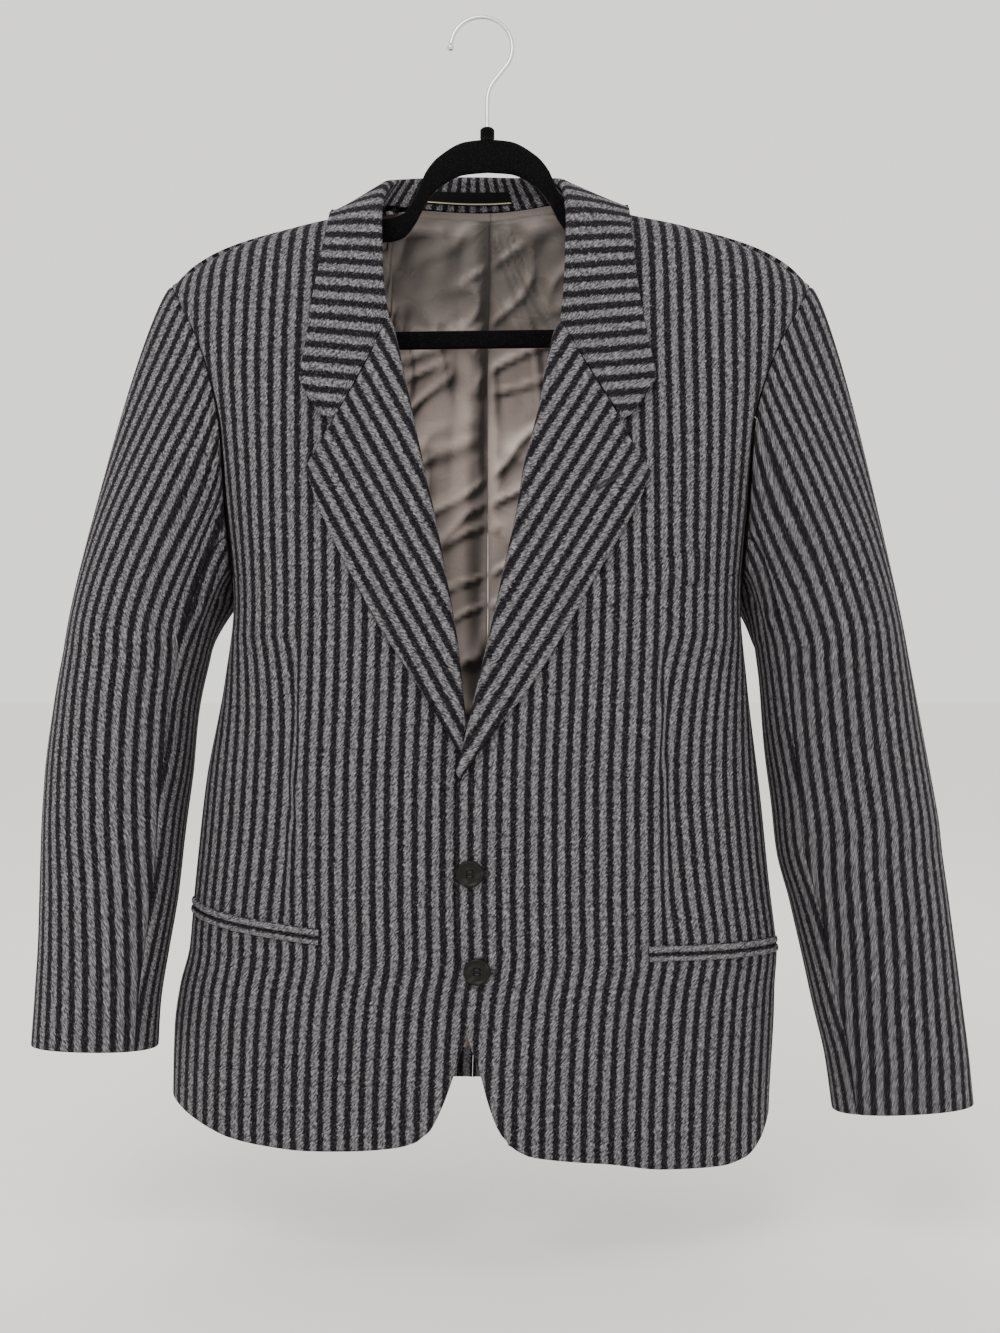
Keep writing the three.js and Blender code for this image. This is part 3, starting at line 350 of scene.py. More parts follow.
HEM_RIGHT = Table(
    "x z",
    (-244.5, -838),
    (-228, -847.5),
    (-213, -854),
    (-192.6, -861.2),
    (-168, -865.5),
    (-136.5, -867.8),
    (-104, -867.1),
    (-67.6, -863.5),
    (-52.8, -859.4),
    (-45.5, -854),
)
LAP = Table(
    "z lift",
    (-890, 3.9),
    (-790, 3.9),
    (-700, 4.1),
    (-640, 5.2),
    (-600, 8.4),
    (-530, 8.6),
    (-490, 4),
    (-430, 0),
    (-100, 0),
)
SLEEVE_LEFT = Table(
    "z outer inner y deep",
    (-490, 325, 209.5, -6, 66),
    (-540, 334.4, 214.5, -8, 62),
    (-600, 345.3, 219.4, -10, 58),
    (-640, 351.6, 222.6, -12, 56),
    (-680, 356, 233, -15, 53),
    (-720, 359.9, 241.6, -19, 50),
    (-760, 363.9, 249.5, -24, 46),
    (-800, 367.7, 258.4, -29, 42),
    (-844, 371.2, 264.4, -34, 38),
)
SLEEVE_RIGHT = Table(
    "z outer inner y deep",
    (-490, 326.5, 217, -6, 66),
    (-540, 335.3, 225.4, -8, 62),
    (-600, 342.4, 232.4, -11, 58),
    (-640, 343.4, 235, -16, 55),
    (-680, 343.4, 238.4, -22, 51),
    (-720, 343, 243.8, -29, 48),
    (-760, 344, 248.6, -36, 44),
    (-796, 345.6, 250.4, -41, 41),
)
LAPEL_LEFT = Table(
    "rx rz ex ez corner",
    (54.7, -250.9, 99.7, -326.2, 0),
    (51.6, -256, 104, -337, 0),
    (49, -264, 113, -351, 0),
    (46.5, -275, 121, -364, 1),
    (42, -298, 115, -380, 0),
    (38.3, -319.7, 107.3, -395.2, 0),
    (28.5, -358.5, 92.4, -421.2, 0),
    (22.5, -395.2, 73.1, -453.7, 0),
    (13.5, -437, 54.7, -487.5, 0),
    (4.5, -480, 35.6, -516.8, 0),
    (-5.4, -522.6, 13, -547, 0),
    (-13.8, -556, -5, -570, 0),
    (-21.5, -586, -18.5, -590, 0),
)
LAPEL_RIGHT = Table(
    "rx rz ex ez corner",
    (-72.8, -247, -110.6, -325, 0),
    (-70.5, -252, -118, -334, 0),
    (-68.4, -260, -127, -350, 0),
    (-66, -270, -133.5, -361.5, 1),
    (-61.5, -291, -125, -386, 0),
    (-57, -311, -114.4, -410.1, 0),
    (-47, -358.5, -95.7, -447.8, 0),
    (-37.2, -402.6, -76.5, -481.6, 0),
    (-29.7, -444.1, -58.1, -509.5, 0),
    (-22.2, -485.3, -39.1, -539.5, 0),
    (-17, -528, -24.4, -563.6, 0),
    (-14, -558, -17.5, -577, 0),
)
COLLAR = Table(
    "fx fy fz sx sz ex ez corner",
    (-73.4, -60, -246.2, -77.6, -245, -111.6, -323.3, 0),
    (-75.5, -59, -238, -80, -237, -120, -323.4, 0),
    (-76.8, -57.5, -231, -81.5, -230, -128.5, -314.5, 0),
    (-78.2, -56, -223, -83, -222, -139.6, -294, 1),
    (-79.8, -52, -208, -85, -207, -135.2, -262.5, 0),
    (-81, -47, -194, -86, -192, -132, -232, 0),
    (-82, -41, -177, -87, -178, -127.2, -200, 0),
    (-82.5, -27, -153, -87.8, -162, -123.5, -172, 0),
    (-79, 2, -127.5, -88, -147.4, -120, -154, 0),
    (-64, 28, -118, -74, -144.2, -108, -176, 0),
    (-40, 40, -113.5, -46, -142.2, -68, -187, 0),
    (-11, 44, -112, -11, -142.4, -11, -190, 0),
    (18, 40, -113.5, 25, -142.2, 48, -187, 0),
    (42, 28, -117, 54, -141.8, 95, -168, 0),
    (58, 2, -126, 68, -142.6, 108.5, -152.4, 0),
    (61.8, -27, -151, 67.8, -160, 110.5, -171.5, 0),
    (62, -41, -175, 67.2, -176, 112.5, -199, 0),
    (61, -47.5, -193, 66.2, -191, 115.6, -229, 0),
    (60, -52, -208, 65, -207, 120, -258, 0),
    (58.8, -56, -223, 63.4, -222, 127, -293, 1),
    (57.6, -58, -233, 62, -232, 117, -308, 0),
    (56.4, -60, -241.5, 60.6, -240.5, 108, -320.5, 0),
    (55.4, -61, -249.8, 59.3, -248.6, 100.5, -324.9, 0),
)
HANGER = Table(
    "x top low",
    (0, -94.4, -120.5),
    (18, -96.5, -122),
    (38, -107.5, -132),
    (48, -119, -144),
    (57, -140, -161),
    (66, -152, -171),
    (78, -155.5, -174),
    (98, -156.7, -174),
    (112, -159.5, -176.5),
    (130, -162.8, -179.4),
    (165, -171.5, -187.5),
    (195, -181.5, -195.3),
    (214, -190.1, -201),
)

FRONT_EDGE = {Side.LEFT: EDGE_LEFT, Side.RIGHT: EDGE_RIGHT}
HEM = {Side.LEFT: HEM_LEFT, Side.RIGHT: HEM_RIGHT}
SLEEVE = {Side.LEFT: SLEEVE_LEFT, Side.RIGHT: SLEEVE_RIGHT}
LAPEL = {Side.LEFT: LAPEL_LEFT, Side.RIGHT: LAPEL_RIGHT}


def ridge(x: Array, back: Array | bool) -> Array:
    """Height of the shoulder ridge, with the back's rise under the collar."""
    z = RIDGE.read("out", "z", np.abs(x - SHOULDER_MID))
    near = np.clip(1 - ((x - NECK_MID) / NECK_HALF) ** 2, 0, 1)
    return z + np.where(back, BACK_NECK_RISE * near * near, 0)


def crest(x: Array, z: Array, back: Array | bool) -> Array:
    """Share of the chest's depth that is left at a height: 1 at the armpit, 0 on the ridge."""
    up = np.clip((z - ARMPIT) / (ridge(x, back) - ARMPIT), 0, 1)
    rounding = lerp(CREST_ROUND_NECK, CREST_ROUND_TIP, smooth(100, 230, np.abs(x - SHOULDER_MID)))
    return (1 - up**CREST_POWER) ** rounding


def hang(x: Array, z: Array, back: Array) -> Array:
    """How far the cloth stands proud in its soft vertical folds.

    Args:
        x: place across the body.
        z: height.
        back: whether the point is on the back.

    Returns:
        The fold's height, growing towards the hem.
    """
    low = smooth(-420, -880, z)
    wave = np.sin(x / 23 + 0.9 + z / 310) + 0.6 * np.sin(x / 11.5 + 2.1 - z / 190)
    wave = np.where(back, np.sin(x / 27 + 0.4 + z / 260) + 0.5 * np.sin(x / 14 - z / 150), wave)
    soft = 0.5 * np.sin(z / 37 + x / 61) * np.sin(x / 48 - z / 83 + 1.2)
    return 0.85 * low * wave + soft * smooth(-240, -330, z)


def body_at(t: Array, z: Array) -> Array:
    """Points of the body's outside.

    Args:
        t: angle round a section from the centre front.
        z: height.

    Returns:
        The points.
    """
    t, z = np.broadcast_arrays(np.asarray(t, float), np.asarray(z, float))
    s, c = np.sin(np.radians(t)), np.cos(np.radians(t))
    n = BODY.read("z", "square", z)
    k = (np.abs(s) ** n + np.abs(c) ** n) ** (-1 / n)
    x = BODY.read("z", "mid", z) + BODY.read("z", "half", z) * k * s
    back = c < 0
    deep = np.where(back, BODY.read("z", "back", z), BODY.read("z", "front", z))
    fold = hang(x, z, back) * np.clip(np.abs(k * c) * 2, 0, 1)
    return pile(x, BODY.read("z", "side", z) - (deep * k * c + np.sign(c) * fold) * crest(x, z, back), z)


def angle_of(x: Array, z: Array, face: int) -> Array:
    """Angle at which the front (-1) or the back (1) of the section has a given X."""
    n, mid = BODY.read("z", "square", z), BODY.read("z", "mid", z)
    out = np.clip(np.abs(x - mid) / BODY.read("z", "half", z), 1e-6, 0.99999)
    t = np.degrees(np.arctan((1 / out**n - 1) ** (-1 / n)))
    side = np.where(x < mid, -1, 1)
    return side * t if face < 0 else side * (CENTRE_BACK - t)


def normal_of(shape: Callable[[Array, Array], Array], u: Array, v: Array, du: float, dv: float) -> Array:
    """Normals of a surface from small steps along its two parameters.

    Args:
        shape: the surface.
        u: first parameter.
        v: second parameter.
        du: step along the first.
        dv: step along the second.

    Returns:
        Unit normals.
    """
    return unit(np.cross(shape(u + du, v) - shape(u - du, v), shape(u, v + dv) - shape(u, v - dv)))


def body_normal(t: Array, z: Array) -> Array:
    """Normals of the body's outside."""
    return normal_of(body_at, t, z, 0.2, 0.4)


def front_at(side: Side, t: Array, z: Array) -> Array:
    """Points of a front, with the lift where the wearer's left front laps over the right one."""
    p = body_at(t, z)
    if side is Side.LEFT:
        p[..., 1] -= LAP.read("z", "lift", z) * (1 - smooth(LAP_IN, LAP_OUT, p[..., 0]))
    return p


def front_normal(side: Side, t: Array, z: Array) -> Array:
    """Normals of a front."""
    return normal_of(lambda a, b: front_at(side, a, b), t, z, 0.2, 0.4)


def over_front(side: Side, x: Array, height: Array, off: Array | float) -> Array:
    """Points that stand off a front by a distance, by X and height."""
    z = np.minimum(height, ridge(x, False) - CREST_EDGE)
    t = angle_of(x, z, -1)
    return front_at(side, t, z) + front_normal(side, t, z) * np.asarray(off)[..., None]


def over_back(x: Array, height: Array, off: Array | float) -> Array:
    """Points that stand off the back by a distance, by X and height."""
    z = np.minimum(height, ridge(x, True) - CREST_EDGE)
    t = angle_of(x, z, 1)
    return body_at(t, z) + body_normal(t, z) * np.asarray(off)[..., None]


def grain(side: Side | None, start: float, t: Array, z: Array) -> Array:
    """Width of cloth between a line on the body and a point, measured level round the body.

    Args:
        side: the front to measure on, or None for the side bodies and the back.
        start: angle of the line that the stripes are cut parallel to.
        t: angle of the point.
        z: height of the point.

    Returns:
        The signed width.
    """
    steps = 40
    share = np.linspace(0, 1, steps + 1)
    shape = t.shape + (1,)
    line = lerp(start, t.reshape(shape), share)
    level = np.broadcast_to(z.reshape(shape), line.shape)
    p = body_at(line, level) if side is None else front_at(side, line, level)
    length = np.linalg.norm(np.diff(p[..., :2], axis=-2), axis=-1).sum(axis=-1)
    return np.where(t < start, -1, 1) * length


def armhole_x(side: Side, z: Array) -> Array:
    """X of the armhole seam at a height."""
    return lerp(0, SHOULDER_MID, smooth(-330, -215, z)) + side.value * ARMHOLE.read("z", "out", z)


def crest_normal(x: Array) -> Array:
    """Normal on the shoulder ridge, which has no part along Y."""
    slope = (ridge(x + 1, False) - ridge(x - 1, False)) / 2
    return unit(pile(-slope, 0 * slope, 1 + 0 * slope))


def level_out(p: Array, n: Array) -> Array:
    """Normals that turn up to the shoulder ridge in the last few millimetres below it."""
    near = smooth(3.0, 0.5, ridge(p[..., 0], False) - p[..., 2])
    near[-1] = 1
    return unit(lerp(n, crest_normal(p[..., 0]), near[..., None]))


def tip_z(side: Side) -> float:
    """Height of the tip of the shoulder seam."""
    return float(ridge(np.array(SHOULDER_MID + side.value * SHOULDER_TIP), False))


def rise(s: Array) -> Array:
    """Spacing of rows that close up towards the ridge."""
    return 1 - (1 - np.clip(s, 0, 1)) ** 1.5


def scoop(t: Array) -> Array:
    """Height of the armhole under the arm."""
    u = np.clip((np.abs(t) - FRONT_SEAM) / (BACK_SEAM - FRONT_SEAM), 0, 1)
    return ARMHOLE_BASE + (ARMPIT - ARMHOLE_BASE) * np.sin(math.pi * u)


def seam_angle(t: float, z: Array, away: int) -> Array:
    """Angle half a seam's gap away from a seam."""
    step = np.linalg.norm(body_at(t + 0.1, z) - body_at(t - 0.1, z), axis=-1) / 0.2
    return t + away * HALF_SEAM / step


def shares(count: int, close: int = 2) -> Array:
    """Even shares from 0 to 1, with extra ones close to both ends for the seams' valleys."""
    even = np.linspace(0, 1, count + 1)
    step = even[1]
    extra = [step * k / (close + 1) for k in range(1, close + 1)]
    return np.unique(np.concatenate((even, extra, [1 - e for e in extra])))


@dataclass
class Panel:
    """A piece of cloth as a grid of outer points with what it needs to become a shell.

    Attributes:
        name: the piece's name.
        points: outer points, rows by columns.
        normals: matching normals.
        cloth: matching places on the flat cloth, across and along the stripes.
        thick: thickness of the wall.
        edges: the first row, last row, first column and last column.
        sheen: painted light and shade on a lining's satin at each point: how much paler or darker its colour is made.
    """

    name: str
    points: Array
    normals: Array
    cloth: Array
    thick: float = TWEED
    edges: tuple[Edge, Edge, Edge, Edge] = (Edge.FOLD, Edge.SEAM, Edge.SEAM, Edge.SEAM)
    valley: float = 0.8
    valley_width: float = 1.5
    fold: float = 1.1
    turned_in: float = 34.0
    sheen: Array | None = None

    def _walk(self) -> list[tuple[int, int]]:
        """Rows and columns round the border, once."""
        rows, cols = self.points.shape[:2]
        walk = [(0, j) for j in range(cols)] + [(i, cols - 1) for i in range(1, rows)]
        walk += [(rows - 1, j) for j in range(cols - 2, -1, -1)] + [(i, 0) for i in range(rows - 2, 0, -1)]
        return walk

    def _borders(self) -> list[tuple[Edge, Array, Array]]:
        """Each border's kind, its distance from every point and the direction out over it."""
        p = self.points
        down, over = arc(p, 0), arc(p, 1)
        away_rows, away_cols = np.gradient(p, axis=0), np.gradient(p, axis=1)
        return [
            (self.edges[0], down, -away_rows),
            (self.edges[1], down[-1:] - down, away_rows),
            (self.edges[2], over, -away_cols),
            (self.edges[3], over[:, -1:] - over, away_cols),
        ]

    def build(self, finishes: list[bpy.types.Material]) -> bpy.types.Object:
        """Makes the closed shell: the outside, the inside and a rounded border.

        Args:
            finishes: the outside's material, and the inside's where it differs.

        Returns:
            The new piece.
        """
        rows, cols = self.points.shape[:2]
        outer, n = self.points.copy(), unit(self.normals)
        bulge, out = np.zeros((rows, cols)), np.zeros_like(outer)
        hem = np.full((rows, cols), np.inf)
        for kind, distance, away in self._borders():
            at_border = distance < 1e-6
            if kind is Edge.SEAM:
                outer -= n * (self.valley * np.exp(-((distance / self.valley_width) ** 2)))[..., None]
            if kind is Edge.FOLD:
                bulge = np.where(at_border, self.fold, bulge)
                hem = np.minimum(hem, distance)
            away = unit(away - n * np.sum(away * n, -1, keepdims=True))
            out += np.where(at_border[..., None], away, 0)
        out = unit(out)
        outer -= out * bulge[..., None]
        inner = outer - n * self.thick
        walk = self._walk()
        ii, jj = np.array([w[0] for w in walk]), np.array([w[1] for w in walk])
        half = self.thick / 2
        middle = (outer[ii, jj] + inner[ii, jj]) / 2
        rounds = [
            middle + n[ii, jj] * half * math.cos(a) + out[ii, jj] * (bulge[ii, jj] * math.sin(a))[:, None]
            for a in (math.pi / 4, math.pi / 2, 3 * math.pi / 4)
        ]
        index = np.arange(rows * cols).reshape(rows, cols)
        quads = grid_faces(index)
        faces = [quads, quads[:, ::-1] + rows * cols]
        lined = (hem[:-1, :-1] > self.turned_in).reshape(-1) & (len(finishes) > 1)
        slots = [np.zeros(len(quads), int), lined.astype(int)]
        ring = [index[ii, jj]] + [2 * rows * cols + k * len(walk) + np.arange(len(walk)) for k in range(3)]
        ring.append(index[ii, jj] + rows * cols)
        for a, b in zip(ring, ring[1:]):
            faces.append(np.stack((np.roll(a, -1), a, b, np.roll(b, -1)), -1))
            slots.append(np.zeros(len(walk), int))
        faces = np.concatenate(faces)
        points = np.concatenate([outer.reshape(-1, 3), inner.reshape(-1, 3)] + rounds)
        flat = self.cloth.reshape(-1, 2)
        flat = np.concatenate([flat, flat] + [self.cloth[ii, jj]] * 3)
        a, b, c = (points[faces[:, k]] for k in (0, 1, 2))
        if np.sum(a * np.cross(b, c)) + np.sum(a * np.cross(c, points[faces[:, 3]])) < 0:
            faces = faces[:, ::-1]
        piece = solid(self.name, points, faces, flat / UV_UNIT, finishes, np.concatenate(slots))
        # A lining's painted light and shade goes on its points as an attribute that the satin's colour reads.
        if self.sheen is not None:
            layer = piece.data.attributes.new("sheen", "FLOAT", "POINT")
            layer.data.foreach_set("value", np.concatenate([self.sheen.ravel()] * 2 + [self.sheen[ii, jj]] * 3))
        return piece

    def cut(self) -> tuple[tuple[float, float], float]:
        """The cut of the piece.

        Returns:
            Width and length of the flat piece in metres, and its area in square metres.
        """
        p = self.points * MM
        a = np.linalg.norm(np.cross(p[1:, :-1] - p[:-1, :-1], p[:-1, 1:] - p[:-1, :-1]), axis=-1)
        b = np.linalg.norm(np.cross(p[1:, :-1] - p[1:, 1:], p[:-1, 1:] - p[1:, 1:]), axis=-1)
        flat = self.cloth.reshape(-1, 2) * MM
        along = np.linalg.svd(flat - flat.mean(axis=0), full_matrices=False)[2]
        length, width = np.ptp(flat @ along.T, axis=0)
        area = float(a.sum() + b.sum()) / 2
        return (float(width), float(max(length, area / width))), area


def solid(
    name: str,
    points: Array,
    faces: Array | list[tuple[int, ...]],
    flat: Array | None,
    finishes: list[bpy.types.Material],
    slots: Array | None = None,
) -> bpy.types.Object:
    """Makes a piece from points in millimetres.

    Args:
        name: the piece's name.
        points: its points.
        faces: corners of its faces.
        flat: a place on the cloth for each point, if it has any.
        finishes: its materials.
        slots: which material each face has.

    Returns:
        The new piece.
    """
    mesh = bpy.data.meshes.new(name)
    corners = np.asarray(faces).tolist() if flat is not None else faces
    mesh.from_pydata((np.asarray(points) * MM).tolist(), [], corners)
    if flat is not None:
        layer = mesh.uv_layers.new(name="cloth")
        corner = np.empty(len(mesh.loops), np.int32)
        mesh.loops.foreach_get("vertex_index", corner)
        layer.data.foreach_set("uv", np.asarray(flat, np.float32)[corner].ravel())
    for finish in finishes:
        mesh.materials.append(finish)
    if slots is not None:
        mesh.polygons.foreach_set("material_index", np.asarray(slots, np.int32))
    mesh.polygons.foreach_set("use_smooth", np.ones(len(mesh.polygons), bool))
    mesh.update()
    piece = bpy.data.objects.new(name, mesh)
    bpy.context.scene.collection.objects.link(piece)
    return piece


@dataclass
class Body:
    """The fronts, side bodies and backs."""

    side: Side
    low_rows: int = 64
    high_rows: int = 60
    front_columns: int = 56
    side_columns: int = 22
    back_columns: int = 58
    shoulder_share: float = 0.7
    front_grain: float = -2.0
    dart_top: float = -486.0
    dart_low: float = -712.0
    dart_take: float = 11.0
    dart_line: dict[Side, tuple[float, float]] = field(
        default_factory=lambda: {Side.LEFT: (129.0, 134.0), Side.RIGHT: (-139.0, -148.0)}
    )

    def dart(self, x: Array, z: Array) -> Array:
        """Cloth that the bust dart takes out between a point and the centre front."""
        top, low = self.dart_line[self.side]
        line = lerp(top, low, np.clip((z - self.dart_top) / (self.dart_low - self.dart_top), 0, 1))
        s = self.side.value
        take = np.sin(math.pi * np.clip((self.dart_top - z) / (self.dart_top - self.dart_low), 0, 1) ** 0.8)
        return self.dart_take * take * smooth(-2.2, 2.2, s * (x - line))

    def front_cloth(self, t: Array, z: Array) -> Array:
        """Places on the flat cloth of a front."""
        x = front_at(self.side, t, z)[..., 0]
        return pile(grain(self.side, self.front_grain, t, z) + self.side.value * self.dart(x, z), z)

    def heights(self, low: Array, top: Array) -> Array:
        """Heights of a front's or a back's rows: even to the armhole's base, then closing up to the top."""
        rows = np.concatenate((shares(self.low_rows)[:-1], 1 + shares(self.high_rows)))[:, None]
        return np.where(rows <= 1, lerp(low, ARMHOLE_BASE, rows), lerp(ARMHOLE_BASE, top, rise(rows - 1)))

    def front(self) -> Panel:
        """The front, from its edge to the side seam and from the hem to the shoulder."""
        side, s = self.side, self.side.value
        edge, hem = FRONT_EDGE[side], HEM[side]
        edge_z, edge_x = edge.column["z"], edge.column["x"]
        seam = np.array(s * FRONT_SEAM)
        side_hem = hem.read("x", "z", body_at(seam, np.array(HEM_BACK))[0])
        share = shares(self.front_columns)[None, :]
        even = share**COLUMN_SPREAD
        hem_turn = lerp(angle_of(edge_x[0], edge_z[0], -1), seam_angle(seam, side_hem, -s), even)
        hem_x = body_at(hem_turn, lerp(edge_z[0], side_hem, even))[..., 0]
        low = hem.read("x", "z", hem_x)
        low = np.where(share == 0, edge_z[0], np.where(share == 1, side_hem, low))
        top_x = lerp(edge_x[-1], SHOULDER_MID + s * SHOULDER_TIP, even)
        top = np.where(share == 0, edge_z[-1] - 0.4, ridge(top_x, False) - RIDGE_GAP)
        z = self.heights(low, top)
        outer = np.where(
            z <= ARMHOLE_BASE,
            seam_angle(s * FRONT_SEAM, z, -s),
            angle_of(armhole_x(side, z) - s * RIDGE_GAP, z, -1),
        )
        t = lerp(angle_of(edge.read("z", "x", z), z, -1), outer, even)
        p, n = front_at(side, t, z), front_normal(side, t, z)
        n = level_out(p, n)
        p[-1, :, 1] = BODY.read("z", "side", z[-1]) - HALF_SEAM
        edges = (Edge.FOLD, Edge.SEAM, Edge.FOLD, Edge.SEAM)
        return Panel("front_" + side.label, p, n, self.front_cloth(t, z), edges=edges)

    def side_body(self) -> Panel:
        """The side body, from the front's seam to the back's and up under the arm."""
        side, s = self.side, self.side.value
        share, rows = shares(self.side_columns)[None, :], shares(self.low_rows)[:, None]
        angle = lerp(FRONT_SEAM, BACK_SEAM, share)
        front_hem = HEM[side].read("x", "z", body_at(np.array(s * FRONT_SEAM), np.array(HEM_BACK))[0])
        z = lerp(lerp(front_hem, HEM_BACK, share), scoop(angle), rows)
        t = np.where(share == 0, seam_angle(s * FRONT_SEAM, z, s), s * angle)
        t = np.where(share == 1, seam_angle(s * BACK_SEAM, z, -s), t)
        cloth = pile(grain(None, s * (FRONT_SEAM + BACK_SEAM) / 2, t, z), z)
        return Panel("side_" + side.label, body_at(t, z), body_normal(t, z), cloth)

    def back(self) -> Panel:
        """The back, from its side seam to the centre seam and from the hem to the shoulder and neck."""
        side, s = self.side, self.side.value
        tip, neck = SHOULDER_MID + s * SHOULDER_TIP, NECK_MID + s * NECK_HALF
        share = shares(self.back_columns)[None, :]
        shoulder = self.shoulder_share
        at_neck = lerp(neck, NECK_MID, (share - shoulder) / (1 - shoulder))
        top_x = np.where(share <= shoulder, lerp(tip, neck, share / shoulder), at_neck)
        near = np.clip(1 - ((top_x - NECK_MID) / NECK_HALF) ** 2, 0, 1)
        neck_z = lerp(ridge(top_x, False), BACK_NECK_Z, near)
        top = np.where(share <= shoulder, ridge(top_x, False) - RIDGE_GAP, neck_z)
        z = self.heights(HEM_BACK, top)
        outer = np.where(z <= ARMHOLE_BASE, seam_angle(s * BACK_SEAM, z, s), angle_of(armhole_x(side, z), z, 1))
        across = ((top_x - tip) / (NECK_MID - tip)) ** COLUMN_SPREAD
        t = lerp(outer, s * CENTRE_BACK - s * 0.06, across)
        p, n = body_at(t, z), body_normal(t, z)
        p[:, -1, 0] = body_at(np.array(s * CENTRE_BACK), z[:, -1])[:, 0] + s * HALF_SEAM
        on_seam = share[0] <= shoulder
        n = np.where(on_seam[None, :, None], level_out(p, n), n)
        p[-1, :, 1] = np.where(on_seam, BODY.read("z", "side", z[-1]) + HALF_SEAM, p[-1, :, 1])
        cloth = pile(grain(None, s * CENTRE_BACK, t, z), z)
        return Panel("back_" + side.label, p, n, cloth)


def across_cloth(p: Array, centre: int, row: int) -> Array:
    """How far each point of a sleeve's piece is across the cloth from the piece's middle line.

    From the given row down it is the arc along the row. Above it, it is read from the straight distance to
    the middle line, so that the stripes run along the sleeve and the armhole cuts them off.

    Args:
        p: the piece's grid.
        centre: the column that is its middle line.
        row: the first row of the plain tube.

    Returns:
        The distances, negative before the middle line.
    """
    across = arc(p[..., :2], 1)
    across -= across[:, centre : centre + 1]
    line = p[:, centre]
    inward = unit(line[0] - line[2])
    line = np.concatenate((line[0] + inward * np.linspace(90, 3, 30)[:, None], line))
    step = line[1:] - line[:-1]
    reach = p[: row + 1, :, None] - line[:-1]
    share = np.clip(np.sum(reach * step, -1) / np.sum(step * step, -1), 0, 1)
    near = np.linalg.norm(reach - share[..., None] * step, axis=-1).min(-1)
    columns = np.arange(p.shape[1])
    for way, at in ((-1, columns < centre), (1, columns > centre)):
        known, walked = np.sort(near[row, at]), np.sort(np.abs(across[row, at]))
        known = np.concatenate(([0], known, [known[-1] + 200]))
        walked = np.concatenate(([0], walked, [walked[-1] + 200]))
        across[:row, at] = way * np.interp(near[:row, at], known, walked)
    return across


